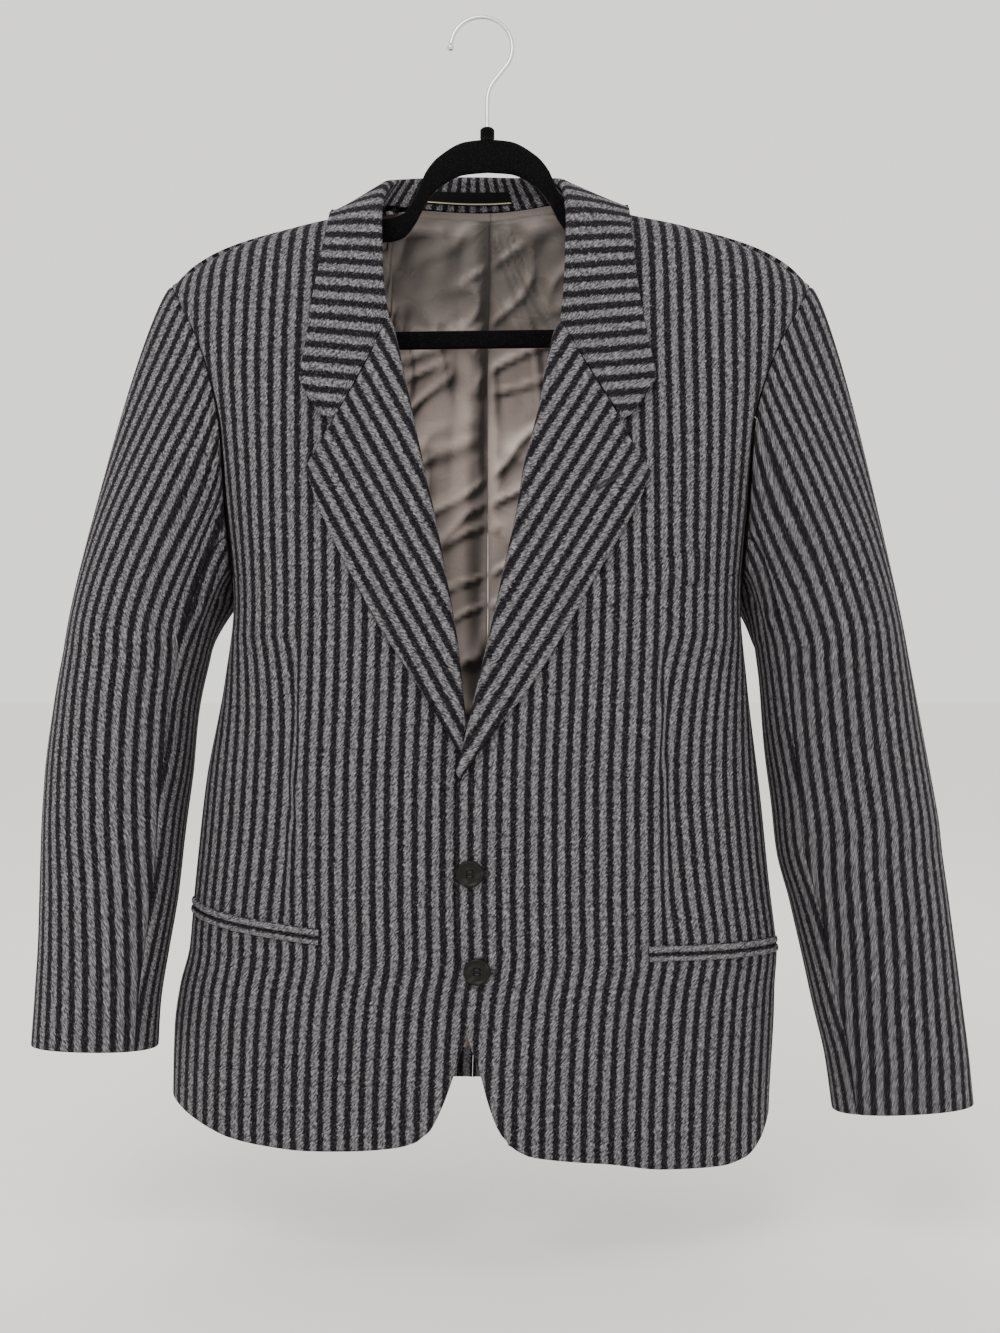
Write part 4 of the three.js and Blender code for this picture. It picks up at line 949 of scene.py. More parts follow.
@dataclass
class Sleeve:
    """A two-piece sleeve, from its cap in the armhole to the cuff."""

    side: Side
    rows: int = 120
    top_columns: int = 56
    under_columns: int = 40
    crease: float = 1.125
    elbow_at: float = 0.56
    elbow_spread: float = 0.17
    pull_at: float = 0.16
    pull_spread: float = 0.1
    seam_gap: float = 0.25
    round_length: float = 430.0
    turned_in: float = 40.0

    def ring_angle(self, f: Array) -> tuple[Array, Array]:
        """Angle and height of the armhole seam, by share round it from the shoulder tip."""
        side, s = self.side, self.side.value
        f = np.mod(f, 1)
        top = tip_z(side) - RIDGE_GAP
        front = lerp(ARMHOLE_BASE, top, rise(1 - f / RING_FRONT))
        angle = lerp(FRONT_SEAM, BACK_SEAM, np.clip((f - RING_FRONT) / RING_SIDE, 0, 1))
        back = lerp(ARMHOLE_BASE, top, rise((f - RING_FRONT - RING_SIDE) / (1 - RING_FRONT - RING_SIDE)))
        z = np.where(f < RING_FRONT, front, np.where(f <= RING_FRONT + RING_SIDE, scoop(angle), back))
        at_front = angle_of(armhole_x(side, z), z, -1)
        at_back = angle_of(armhole_x(side, z), z, 1)
        t = np.where(f < RING_FRONT, at_front, np.where(f <= RING_FRONT + RING_SIDE, s * angle, at_back))
        return t, z

    def ring_start(self, f: Array) -> tuple[Array, Array]:
        """Point where the sleeve leaves the armhole and the direction in which it leaves."""
        f = np.mod(f, 1)
        p, n = body_at(*self.ring_angle(f)), body_normal(*self.ring_angle(f))
        near = np.clip(np.minimum(f, 1 - f) / 0.03, 0, 1)[..., None]
        n = unit(lerp(crest_normal(p[..., 0]), n, near))
        along = unit(body_at(*self.ring_angle(f + 0.004)) - body_at(*self.ring_angle(f - 0.004)))
        away = -self.side.value * unit(np.cross(along, n))
        around = np.sin(math.pi * f) ** 2
        turn = np.radians(150 * around**1.6)[..., None]
        start = away * np.cos(turn) + n * np.sin(turn)
        half = away * np.cos(turn / 2) + n * np.sin(turn / 2)
        return p + half * lerp(SLEEVE_GAP, UNDERARM_GAP, around)[..., None], start

    def tube_at(self, angle: Array, z: Array) -> Array:
        """Points of the tube below the upper arm. The angle is 0 outside and 90 in front."""

        def read(column: str, at: Array) -> Array:
            """A column of the sleeve's table."""
            return SLEEVE[self.side].read("z", column, at)

        def middle(at: Array) -> Array:
            """Middle of the sleeve seen from the front."""
            return (read("outer", at) + read("inner", at)) / 2

        half = (read("outer", z) - read("inner", z)) / 2
        tilt = np.arctan((middle(z - 15) - middle(z + 15)) / 30)
        lean = np.arctan((read("y", z + 15) - read("y", z - 15)) / 30)
        c, q = np.cos(np.radians(angle)), np.sin(np.radians(angle))
        k = (np.abs(c) ** SLEEVE_SQUARE + np.abs(q) ** SLEEVE_SQUARE) ** (-1 / SLEEVE_SQUARE)
        across, fore = half * np.cos(tilt) * k * c, read("deep", z) * k * q
        return pile(
            self.side.value * (middle(z) + across * np.cos(tilt)),
            read("y", z) - fore * np.cos(lean),
            z + across * np.sin(tilt) + fore * np.sin(lean),
        )

    def smooth_at(self, f: Array, v: Array) -> Array:
        """Points of the sleeve before its creases: f goes round from the shoulder tip, v down to the cuff."""
        f, v = np.broadcast_arrays(f, v)
        angle, cuff = 360 * f, SLEEVE[self.side].column["z"][-1]
        tube = self.tube_at(angle, lerp(SLEEVE_TOP, cuff, np.clip((v - CAP_SHARE) / (1 - CAP_SHARE), 0, 1)))
        point, start = self.ring_start(f)
        top = np.full(f.shape, SLEEVE_TOP)
        end = self.tube_at(angle, top)
        reach = np.linalg.norm(point - end, axis=-1)
        under = np.sin(math.pi * f) ** 2
        down = unit(self.tube_at(angle, top - 14) - self.tube_at(angle, top - 2))
        u = (v / CAP_SHARE)[..., None]
        leave = start * (lerp(0.2, 0.75, under) * reach)[..., None]
        arrive = down * (lerp(0.8, 0.6, under) * reach)[..., None]
        return np.where((v >= CAP_SHARE)[..., None], tube, hermite(u, point, end, leave, arrive))

    def sleeve_at(self, f: Array, v: Array) -> Array:
        """Points of the sleeve with its soft creases."""
        p = self.smooth_at(f, v)
        step = 0.004
        a = self.smooth_at(f + step, v) - self.smooth_at(f - step, v)
        b = self.smooth_at(f, np.clip(v + step, 0, 1)) - self.smooth_at(f, np.clip(v - step, 0, 1))
        n = unit(np.cross(a, b)) * self.side.value
        turn = 2 * math.pi * f
        inner = np.cos(turn - math.pi)
        at_elbow = np.exp(-(((v - self.elbow_at) / self.elbow_spread) ** 2))
        elbow = at_elbow * np.sin(27 * v + 1.7 * np.sin(turn + 0.6) + self.side.value)
        length = np.sin(2 * turn + 5 * v + self.side.value) + 0.7 * np.sin(3 * turn - 7 * v + 0.8)
        pull = np.exp(-(((v - self.pull_at) / self.pull_spread) ** 2)) * np.sin(5 * turn + 4 * v)
        depth = elbow * (0.55 + 0.45 * inner) + 0.55 * length * smooth(0.1, 0.4, v) + 0.6 * pull
        fade = smooth(0.0, 0.07, v) * (1 - 0.6 * smooth(0.94, 1.0, v))
        return p + n * (self.crease * depth * fade)[..., None]

    def panel(self, name: str, start: float, end: float, columns: int) -> Panel:
        """One piece of the sleeve.

        Args:
            name: the piece's name without its side.
            start: share round the armhole of its first column.
            end: share of its last column.
            columns: how many columns it has.

        Returns:
            The piece, with stripes that run along the sleeve from the line over the shoulder tip.
        """
        gap = self.seam_gap / self.round_length
        f = lerp(start + gap, end - gap, shares(columns))[None, :]
        v = shares(self.rows)[:, None]
        f, v = np.broadcast_arrays(f, v)
        p = self.sleeve_at(f, v)
        step = 0.003
        a = self.sleeve_at(f + step, v) - self.sleeve_at(f - step, v)
        b = self.sleeve_at(f, np.minimum(v + 0.002, 1)) - self.sleeve_at(f, np.maximum(v - 0.002, 0))
        n = unit(np.cross(a, b)) * self.side.value
        centre = int(np.argmin(np.abs(f[0] - (0 if start < 0 else (start + end) / 2))))
        across = across_cloth(p, centre, int(np.argmax(v[:, 0] >= CAP_SHARE)))
        edges = (Edge.SEAM, Edge.FOLD, Edge.SEAM, Edge.SEAM)
        cloth = pile(-self.side.value * across, -arc(p, 0))
        return Panel(name + self.side.label, p, n, cloth, edges=edges, turned_in=self.turned_in)

    def panels(self) -> list[Panel]:
        """The upper and the under sleeve."""
        return [
            self.panel("sleeve_top_", HINDARM_SHARE - 1, FOREARM_SHARE, self.top_columns),
            self.panel("sleeve_under_", FOREARM_SHARE, HINDARM_SHARE, self.under_columns),
        ]


@dataclass
class Lapel:
    """A lapel: the facing that rolls over the front's edge and lies back on the front."""

    side: Side
    rows: int = 120
    columns: int = 34
    roll_steps: int = 14
    roll_inset: float = 5.0
    roll_out: float = 5.4

    def lapel_at(self, u: Array, v: Array) -> Array:
        """Points of the lapel's outside: u runs down the roll line, v out to the edge."""
        table = LAPEL[self.side]
        at = np.clip(u, 0, 1) * table.last
        x = lerp(table.follow(at, "rx"), table.follow(at, "ex"), v)
        z = lerp(table.follow(at, "rz"), table.follow(at, "ez"), v)
        lift = LAPEL_ROLL * (1 - smooth(0, 0.55, v)) * (1 - smooth(0.72, 1, u))
        return over_front(self.side, x, z, LAPEL_GAP + FACING + lift)

    def panel(self) -> Panel:
        """The lapel with its roll, and stripes that run along its outer edge."""
        table, s = LAPEL[self.side], self.side.value
        u = shares(self.rows)[:, None]
        at = u * table.last
        wide_x, wide_z = (table.follow(at, "e" + c) - table.follow(at, "r" + c) for c in "xz")
        wide = np.hypot(wide_x, wide_z)
        inset = np.minimum(self.roll_inset / wide, 0.45)
        v = inset + (1 - inset) * shares(self.columns)[None, :]
        uu, vv = np.broadcast_arrays(u, v)
        p = self.lapel_at(uu, vv)
        n = normal_of(lambda a, b: self.lapel_at(np.clip(a, 0.001, 0.999), b), uu, vv, 0.004, 0.01)
        n *= np.where(n[..., 1:2] > 0, -1, 1)
        first, up = p[:, 0], n[:, 0]
        toward = self.lapel_at(u, 0 * u)[:, 0] - first
        toward = unit(toward - up * np.sum(toward * up, -1, keepdims=True))
        lift = LAPEL_ROLL * (1 - smooth(0.72, 1, u[:, 0]))
        r = (LAPEL_GAP + FACING + TWEED + lift)[:, None, None] / 2
        out = np.minimum(self.roll_out, 0.9 * inset * wide + 1.5)[:, :, None]
        a = np.linspace(math.pi, 0, self.roll_steps, endpoint=False)[None, :, None]
        roll = first[:, None] + toward[:, None] * out * np.sin(a) - up[:, None] * r * (1 - np.cos(a))
        roll_n = unit(toward[:, None] * np.sin(a) * r + up[:, None] * np.cos(a) * out)
        p, n = np.concatenate((roll, p), 1), np.concatenate((roll_n, n), 1)
        corner = int(np.argmax(table.column["corner"]))
        ends = [np.array([table.column["ex"][k], table.column["ez"][k]]) for k in (corner, table.last - 1)]
        line = (ends[1] - ends[0]) / np.linalg.norm(ends[1] - ends[0])
        flat = p[..., [0, 2]] - ends[0]
        across = flat @ np.array([-line[1], line[0]])
        cloth = pile(s * across, -(flat @ line))
        steps = np.linalg.norm(np.diff(roll, axis=1), axis=-1)
        back = np.cumsum(steps[:, ::-1], 1)[:, ::-1]
        edge = across[:, self.roll_steps : self.roll_steps + 1]
        sign = np.sign(edge - across[:, -1:])
        cloth[:, : self.roll_steps - 1, 0] = s * (edge + sign * back)
        edges = (Edge.SEAM, Edge.FOLD, Edge.PLAIN, Edge.FOLD)
        return Panel("lapel_" + self.side.label, p, n, cloth, thick=FACING * 0.8, edges=edges, valley=0.9, fold=1.0)


@dataclass
class Collar:
    """The collar: its stand, its fold and its fall, and the bare label on the stand."""

    rows: int = 250
    columns: int = 52
    label_left: float = -1.25
    label_right: float = 0.87
    label_low: float = 0.045
    label_high: float = 0.15
    level_row: float = 7.5
    level_blend: tuple[float, float] = (-1.2, 1.6)
    measured_at: float = 0.62
    fold_from: float = 0.25
    fold_to: float = 0.45
    fall_pull: float = 0.6

    def over(self, at: Array, x: Array, z: Array, off: Array | float) -> Array:
        """Points off the front or the back that the collar lies on."""
        left, right = over_front(Side.LEFT, x, z, off), over_front(Side.RIGHT, x, z, off)
        front = np.where((x > 0)[..., None], left, right)
        behind = (at > COLLAR_SHOULDERS[0]) & (at < COLLAR_SHOULDERS[1])
        return np.where(behind[..., None], over_back(x, z, off), front)

    def keep_off(self, p: Array, share: Array) -> Array:
        """The fall, kept off the front or the back that it lies over."""
        off = COLLAR_OFF * share
        x, y, z = p[..., 0], p[..., 1], p[..., 2]
        left, right = (over_front(side, x, z, off)[..., 1] for side in Side)
        front = np.where(x > 0, left, right)
        back = over_back(x, z, off)[..., 1]
        y = np.where((y < 0) & (z < ridge(x, False) - 1), np.minimum(y, front), y)
        y = np.where((y > 0) & (z < ridge(x, True) - 1), np.maximum(y, back), y)
        return pile(x, y, z)

    def collar_at(self, at: Array, q: Array) -> Array:
        """Points of the collar: at is the row in its table, q runs from the seam over the fold to the edge."""
        at, q = np.broadcast_arrays(np.asarray(at, float), np.asarray(q, float))
        get = {c: COLLAR.follow(at, c) for c in ("fx", "fy", "fz", "sx", "sz", "ex", "ez")}
        fold = pile(get["fx"], get["fy"], get["fz"])
        seam = self.over(at, get["sx"], get["sz"], COLLAR_SEAT)
        edge = self.over(at, get["ex"], get["ez"], COLLAR_OFF)
        stand = np.linalg.norm(fold - seam, axis=-1)
        up = unit(fold - seam)
        seam = seam + up * 0.4
        out = edge - fold
        out = unit(out - up * np.sum(out * up, -1, keepdims=True))
        r = np.clip(stand * 0.45, COLLAR_WALL + 0.3, COLLAR_FOLD)[..., None]
        fall = unit(edge - fold)
        turn = np.arctan2(np.sum(fall * out, -1), np.sum(fall * up, -1))

        def rounded(a: Array) -> Array:
            """Points round the fold."""
            return fold + up * (r * np.sin(a)[..., None] - r) - out * r * np.cos(a)[..., None]

        stand_part = lerp(seam, rounded(0 * turn), (q / self.fold_from)[..., None])
        fold_part = rounded(turn * np.clip((q - self.fold_from) / (self.fold_to - self.fold_from), 0, 1))
        u = np.clip((q - self.fold_to) / (1 - self.fold_to), 0, 1)
        top = rounded(turn)
        pull = self.fall_pull * np.linalg.norm(top - edge, axis=-1)[..., None]
        near = self.over(at, lerp(get["ex"], get["fx"], 0.12), lerp(get["ez"], get["fz"], 0.12), COLLAR_OFF)
        end = unit(edge - near)
        fall_part = hermite(u[..., None], top, edge, pull * fall, pull * end)
        fall_part = self.keep_off(fall_part, smooth(0, 0.12, u))
        q = q[..., None]
        return np.where(q < self.fold_from, stand_part, np.where(q < self.fold_to, fold_part, fall_part))

    def panel(self) -> Panel:
        """The collar with stripes that run from the neck to its outer edge."""
        last = COLLAR.last
        at, q = shares(self.rows)[:, None] * last, shares(self.columns)[None, :]
        at, q = np.broadcast_arrays(at, q)
        p = self.collar_at(at, q)
        a = self.collar_at(np.minimum(at + 0.02, last), q) - self.collar_at(np.maximum(at - 0.02, 0), q)
        b = self.collar_at(at, np.minimum(q + 0.004, 1)) - self.collar_at(at, np.maximum(q - 0.004, 0))
        along = arc(self.collar_at(at[:, :1], self.measured_at + 0 * q[:, :1]), 0)
        along = np.broadcast_to(along - along[-1] / 2, q.shape)
        low, high = self.level_blend
        front = 1 - smooth(self.level_row + low, self.level_row + high, np.minimum(at, last - at))
        along = lerp(along, self.levels(p, at, along), front)
        edges = (Edge.SEAM, Edge.SEAM, Edge.PLAIN, Edge.FOLD)
        n, flat = unit(np.cross(a, b)), pile(along, -arc(p, 1))
        return Panel("collar", p, n, flat, COLLAR_WALL, edges, valley=0.8, fold=0.9)

    def levels(self, p: Array, at: Array, along: Array) -> Array:
        """Places along the collar read from height, so that the stripes lie level on the chest.

        Args:
            p: the collar's grid.
            at: row of each point in the collar's table.
            along: arc from the back's middle to each row.

        Returns:
            Places that go on from the arc at the shoulders.
        """
        level = 0.9 * (p[..., 2] - 0.1 * np.abs(p[..., 0]))
        middle = level.shape[1] * 5 // 8
        place = np.zeros(at.shape)
        left = at < COLLAR.last / 2
        halves = ((1, self.level_row, left), (-1, COLLAR.last - self.level_row, ~left))
        for way, row, here in halves:
            k = int(np.argmin(np.abs(at[:, 0] - row)))
            place = np.where(here, along[k, 0] + way * (level - level[k, middle]), place)
        return place

    def label(self) -> Panel:
        """The bare label on the stand."""
        centre = COLLAR.last / 2
        at = centre + lerp(self.label_left, self.label_right, shares(40, 0))[:, None]
        q = lerp(self.label_low, self.label_high, shares(12, 0))[None, :]
        at, q = np.broadcast_arrays(at, q)
        a = self.collar_at(at + 0.02, q) - self.collar_at(at - 0.02, q)
        n = unit(np.cross(a, self.collar_at(at, q + 0.004) - self.collar_at(at, q - 0.004)))
        p = self.collar_at(at, q) + n * (2 * SEAM + 0.8)
        wide = np.linalg.norm(p[-1, 0] - p[0, 0])
        tall = np.linalg.norm(p[0, -1] - p[0, 0])
        cloth = pile(wide * (at - at[0, 0]) / np.ptp(at), tall * (q - q[0, 0]) / np.ptp(q))
        edges = (Edge.FOLD,) * 4
        return Panel("label", p, n, cloth, 0.8, edges, fold=0.3)


@dataclass
class Trims:
    """The hip pockets' jets and the breast welt."""

    jet_height: float = 6.0
    jet_thick: float = 1.5
    jet_stripes: tuple[float, float] = (5.2, 6.8)
    welt_inner: tuple[float, float] = (64.0, -444.5)
    welt_outer: tuple[float, float] = (161.0, -419.6)
    welt_height: float = 25.0
    welt_thick: float = 1.5
    pockets: tuple[tuple[Side, tuple[float, float], tuple[float, float]], ...] = (
        (Side.RIGHT, (30.5, -707.5), (76.0, -690.5)),
        (Side.LEFT, (31.0, -720.0), (76.0, -720.5)),
    )

    def strip(
        self, name: str, side: Side, t: Array, z: Array, off: float, thick: float, level: float | None = None
    ) -> Panel:
        """A strip that lies on a front.

        Args:
            name: the piece's name.
            side: the front that it lies on.
            t: angles of its grid.
            z: heights of its grid.
            off: gap under it.
            thick: its thickness.
            level: where the stripes begin on a strip that is cut along them.

        Returns:
            The strip, with the front's own stripes unless it is cut along them.
        """
        t, z = np.broadcast_arrays(t, z)
        n = front_normal(side, t, z)
        rows = np.linspace(-1, 1, t.shape[0])[:, None, None]
        crown = thick * 0.55 * (1 - rows**2) - 0.3
        p = front_at(side, t, z) + n * (off + thick + crown)
        cloth = Body(side).front_cloth(t, z)
        if level is not None:
            cloth = pile(level + z - z.mean(axis=0), p[..., 0])
        return Panel(name, p, n, cloth, thick, (Edge.FOLD,) * 4, fold=0.6)

    def jets(self) -> list[Panel]:
        """The four jets."""
        out = []
        across = np.linspace(0, 1, 47)[None, :]
        for side, start, end in self.pockets:
            t = side.value * lerp(start[0], end[0], across)
            pair = (("upper", SEAM, self.jet_height), ("lower", -self.jet_height, -SEAM))
            for (word, low, high), level in zip(pair, self.jet_stripes):
                z = lerp(start[1], end[1], across) + np.linspace(low, high, 9)[:, None]
                out.append(self.strip(f"jet_{word}_{side.label}", side, t, z, 2 * SEAM, self.jet_thick, level))
        return out

    def welt(self) -> Panel:
        """The breast welt."""
        across, up = np.linspace(0, 1, 41)[None, :], np.linspace(0, 1, 15)[:, None]
        x = lerp(self.welt_inner[0], self.welt_outer[0], across) + 0 * up
        z = lerp(self.welt_inner[1], self.welt_outer[1], across) - self.welt_height * (1 - up)
        return self.strip("breast_welt", Side.LEFT, angle_of(x, z, -1), z, 1.5 * SEAM, self.welt_thick)


@dataclass
class BackLining:
    """The satin lining of the back in two halves, with its centre pleat, its creases, and painted light and shade in
    its colour.
    """

    side: Side
    columns: int = 84
    rows: int = 190
    reach: float = 180.0
    side_angle: float = 130.0
    inset: tuple[float, float] = (16.0, 72.0)
    pleat_half: float = 14.0
    pleat_rise: float = 3.0
    pleat_x: tuple[float, float] = (-9.0, -19.0)
    crease: float = 6.5
    # Painted light: direction towards a lamp, and how strongly crease flanks facing towards or away from it are
    # painted paler or darker.
    lamp: tuple[float, float, float] = (-0.62, -0.35, 0.7)
    gain: float = 2.1
    pleat_z: tuple[float, float] = (-170.0, -390.0)
    neck_gap: float = 6.0
    shoulder_gap: float = 26.0
    rim_height: float = 13.0
    off_back: float = 1.4
    # Painted light: the satin's colour is painted paler from near the neck to lower down, between these heights.
    pale: tuple[float, float] = (0.55, 2.4)
    pale_z: tuple[float, float] = (-190.0, -340.0)
    # Painted shade: a darker band beside the pleat, then the limits of all the painted light and shade.
    shade_off: float = 11.0
    shade_half: float = 7.0
    shade_deep: float = 0.45
    sheen_range: tuple[float, float] = (-0.8, 3.6)

    def creases(self, p: Array) -> Array:
        """Depth of the satin's creases, from 0 to about 1."""
        flat = p.reshape(-1, 3)
        depth = np.empty(len(flat))
        for k, (x, _, z) in enumerate(flat):
            bend = noise.noise(Vector((x * 0.012, 3.1, z * 0.009))) * 2.2
            long = 1 - abs(noise.noise(Vector((x * 0.034 + z * 0.011 + bend, 0.7, z * 0.008 - x * 0.006))) * 2.3)
            cross = 1 - abs(noise.noise(Vector((x * 0.018 - z * 0.026, 8.3 + bend * 0.5, z * 0.022))) * 2.6)
            fine = noise.noise(Vector((x * 0.07, 5.0, z * 0.05)))
            depth[k] = 0.62 * max(long, 0) ** 2 + 0.5 * max(cross, 0) ** 3 + 0.12 * fine
        return depth.reshape(p.shape[:2])

    def panel(self) -> Panel:
        """One half of the lining, just inside the back, with painted light and shade stored on its points."""
        side, s = self.side, self.side.value
        across, up = np.linspace(0, 1, self.columns + 1)[None, :], np.linspace(0, 1, self.rows + 1)[:, None]
        x = s * lerp(1, self.reach, across)
        neck = lerp(ridge(x, False), BACK_NECK_Z, np.clip(1 - ((x - NECK_MID) / NECK_HALF) ** 2, 0, 1))
        top = np.where(np.abs(x - NECK_MID) < NECK_HALF, neck - self.neck_gap, ridge(x, False) - self.shoulder_gap)
        z = lerp(LINING_HEM, top, up)
        x, z = np.broadcast_arrays(x, z)
        inset = lerp(*self.inset, smooth(-330, -200, z))
        high = angle_of(armhole_x(side, z) - s * inset, z, 1)
        outer = np.where(z < ARMHOLE_BASE, s * self.side_angle, high)
        t = lerp(s * CENTRE_BACK - s * 0.08, outer, across)
        p, n = body_at(t, z), body_normal(t, z)
        p[:, 0, 0] = body_at(np.array(s * CENTRE_BACK), z[:, 0])[:, 0] + s * HALF_SEAM
        middle = lerp(*self.pleat_x, smooth(*self.pleat_z, z))
        near = np.clip(1 - np.abs(p[..., 0] - middle) / self.pleat_half, 0, 1)
        pleat = self.pleat_rise * near * near * (3 - 2 * near)
        rim = smooth(0, self.rim_height, top - z) * smooth(0, 0.08, 1 - across) * smooth(0, 0.04, across)
        depth = self.creases(p) * self.crease * rim
        p = p - n * (TWEED + self.off_back + pleat + depth)[..., None]
        step = np.gradient(p, axis=1), np.gradient(p, axis=0)
        facing = unit(np.cross(*step))
        facing *= np.sign(np.sum(facing * n, -1, keepdims=True))
        edges = (Edge.FOLD, Edge.PLAIN, Edge.SEAM, Edge.PLAIN)
        flat = pile(p[..., 0], p[..., 2])
        # Painted light and shade: paler lower down, crease flanks lit or shaded towards a fixed lamp, and a shade
        # band beside the pleat, all put into the colour.
        pale = lerp(*self.pale, smooth(*self.pale_z, z))
        shade = self.shade_deep * np.exp(-(((p[..., 0] - middle - self.shade_off) / self.shade_half) ** 2))
        lit = 1 + self.gain * ((n - facing) @ np.array(self.lamp))
        sheen = np.clip(pale * lit * (1 - shade) - 1, *self.sheen_range)
        thick = LINING * 0.8
        return Panel("lining_" + side.label, p, facing, flat, thick, edges, valley=0.0, fold=0.4, sheen=sheen)


class Nodes:
    """A short way to lay out a node tree."""

    def __init__(self, tree: bpy.types.NodeTree) -> None:
        """Keeps the tree."""
        self.tree = tree

    def add(self, kind: str, inputs: dict[str | int, object] | None = None, **settings: object) -> bpy.types.Node:
        """Adds a node.

        Args:
            kind: the node's type.
            inputs: values or sockets for its inputs.
            settings: the node's own settings.

        Returns:
            The node.
        """
        node = self.tree.nodes.new(kind)
        for name, value in settings.items():
            setattr(node, name, value)
        for name, value in (inputs or {}).items():
            if isinstance(value, bpy.types.NodeSocket):
                self.tree.links.new(value, node.inputs[name])
            else:
                node.inputs[name].default_value = value
        return node

    def math(self, how: str, a: object, b: object = 0.0, c: object = 0.0) -> bpy.types.NodeSocket:
        """A sum of up to three values."""
        return self.add("ShaderNodeMath", {0: a, 1: b, 2: c}, operation=how).outputs[0]

    def ramp(self, value: object, low: float, high: float) -> bpy.types.NodeSocket:
        """A smooth step from 0 to 1 between two values."""
        inputs = {"Value": value, "From Min": low, "From Max": high}
        return self.add("ShaderNodeMapRange", inputs, interpolation_type="SMOOTHSTEP").outputs[0]

    def blend(self, share: object, a: object, b: object, how: str = "MIX") -> bpy.types.NodeSocket:
        """A colour between two others."""
        node = self.add("ShaderNodeMix", {}, data_type="RGBA", blend_type=how)
        for index, value in ((0, share), (6, a), (7, b)):
            if isinstance(value, bpy.types.NodeSocket):
                self.tree.links.new(value, node.inputs[index])
            else:
                node.inputs[index].default_value = value
        return node.outputs[2]


def group(name: str, kind: str, inputs: dict[str, tuple[str, object]], outputs: dict[str, str]) -> bpy.types.NodeTree:
    """An empty node group with named sockets.

    Args:
        name: the group's name.
        kind: its tree type.
        inputs: type and default of each input.
        outputs: type of each output.

    Returns:
        The group.
    """
    tree = bpy.data.node_groups.new(name, kind)
    for label, (socket, default) in inputs.items():
        made = tree.interface.new_socket(name=label, in_out="INPUT", socket_type=socket)
        if default is not None:
            made.default_value = default
    for label, socket in outputs.items():
        tree.interface.new_socket(name=label, in_out="OUTPUT", socket_type=socket)
    return tree


def weave_group() -> bpy.types.NodeTree:
    """Striped twill: its colour and its relief, from places on the cloth in millimetres."""
    inputs = {
        "Cloth": ("NodeSocketVector", None),
        "Light": ("NodeSocketColor", (0.2, 0.19, 0.2, 1)),
        "Dark": ("NodeSocketColor", (0.03, 0.03, 0.035, 1)),
        "Pitch": ("NodeSocketFloat", STRIPE_PITCH),
        "Light width": ("NodeSocketFloat", 5.0),
        "Shift": ("NodeSocketFloat", 0.0),
    }
    tree = group("striped_twill", "ShaderNodeTree", inputs, {"Color": "NodeSocketColor", "Height": "NodeSocketFloat"})
    n = Nodes(tree)
    given, done = n.add("NodeGroupInput"), n.add("NodeGroupOutput")
    part = n.add("ShaderNodeSeparateXYZ", {0: given.outputs["Cloth"]})
    u, v = n.math("MULTIPLY", part.outputs[0], UV_UNIT), n.math("MULTIPLY", part.outputs[1], UV_UNIT)
    place = n.add("ShaderNodeCombineXYZ", {0: u, 1: v}).outputs[0]

    def grainy(scale: float, along: float, turn: float, detail: float = 2.0) -> bpy.types.NodeSocket:
        """Noise that is drawn out along a direction."""
        mapped = n.add(
            "ShaderNodeMapping",
            {"Vector": place, "Rotation": (0, 0, turn), "Scale": (1, along, 1)},
            vector_type="TEXTURE",
        )
        return n.add("ShaderNodeTexNoise", {"Vector": mapped.outputs[0], "Scale": scale, "Detail": detail}).outputs[0]

    wander = grainy(0.25, 1.0, 0.0)
    ragged = grainy(0.9, 1.8, -0.55)
    edge = n.math("ADD", n.math("MULTIPLY_ADD", wander, 2.4, -1.2), n.math("MULTIPLY_ADD", ragged, 4.4, -2.2))
    line = n.math("ADD", n.math("ADD", u, edge), given.outputs["Shift"])
    turns = n.math("DIVIDE", line, given.outputs["Pitch"])
    off = n.math("ABSOLUTE", n.math("SUBTRACT", n.math("FRACT", turns), 0.5))
    off = n.math("MULTIPLY", off, given.outputs["Pitch"])
    half = n.math("MULTIPLY", given.outputs["Light width"], 0.5)
    stripe = n.ramp(n.math("SUBTRACT", off, half), 0.75, -0.75)
    slant = n.math("MULTIPLY_ADD", u, 0.9, n.math("MULTIPLY", v, -0.62))
    slub = grainy(0.62, 3.4, -0.62, 3.0)
    ribs = n.math("SINE", n.math("MULTIPLY_ADD", slant, 2.3, n.math("MULTIPLY", slub, 7.0)))
    yarn = n.ramp(grainy(0.85, 3.0, -0.62, 3.0), 0.36, 0.64)
    fleck = n.ramp(grainy(1.05, 2.8, -0.6, 2.0), 0.56, 0.68)
    pit = n.ramp(grainy(0.95, 2.6, -0.7, 2.0), 0.45, 0.33)
    ladder = n.math("SINE", n.math("MULTIPLY", v, 2 * math.pi / STRIPE_PITCH))
    base = n.blend(stripe, given.outputs["Dark"], given.outputs["Light"])
    tone = n.math("MULTIPLY_ADD", ribs, 0.13, n.math("MULTIPLY_ADD", yarn, 1.15, 0.4))
    tone = n.math("MULTIPLY_ADD", n.ramp(ladder, -0.2, 0.8), 0.14, tone)
    tone = n.math("MULTIPLY_ADD", n.math("MULTIPLY_ADD", wander, 1.0, -0.5), 0.5, tone)
    grey = n.add("ShaderNodeCombineColor", {0: tone, 1: tone, 2: tone}).outputs[0]
    body = n.blend(1.0, base, grey, "MULTIPLY")
    lit = n.blend(n.math("MULTIPLY", fleck, n.math("MULTIPLY_ADD", stripe, 0.5, 0.12)), body, (0.34, 0.33, 0.345, 1))
    sunk = n.blend(n.math("MULTIPLY", pit, 0.6), lit, (0.007, 0.0065, 0.008, 1))
    relief = n.math("MULTIPLY_ADD", ribs, 0.25, n.math("MULTIPLY_ADD", yarn, 0.8, n.math("MULTIPLY", stripe, 0.35)))
    tree.links.new(sunk, done.inputs["Color"])
    tree.links.new(relief, done.inputs["Height"])
    return tree


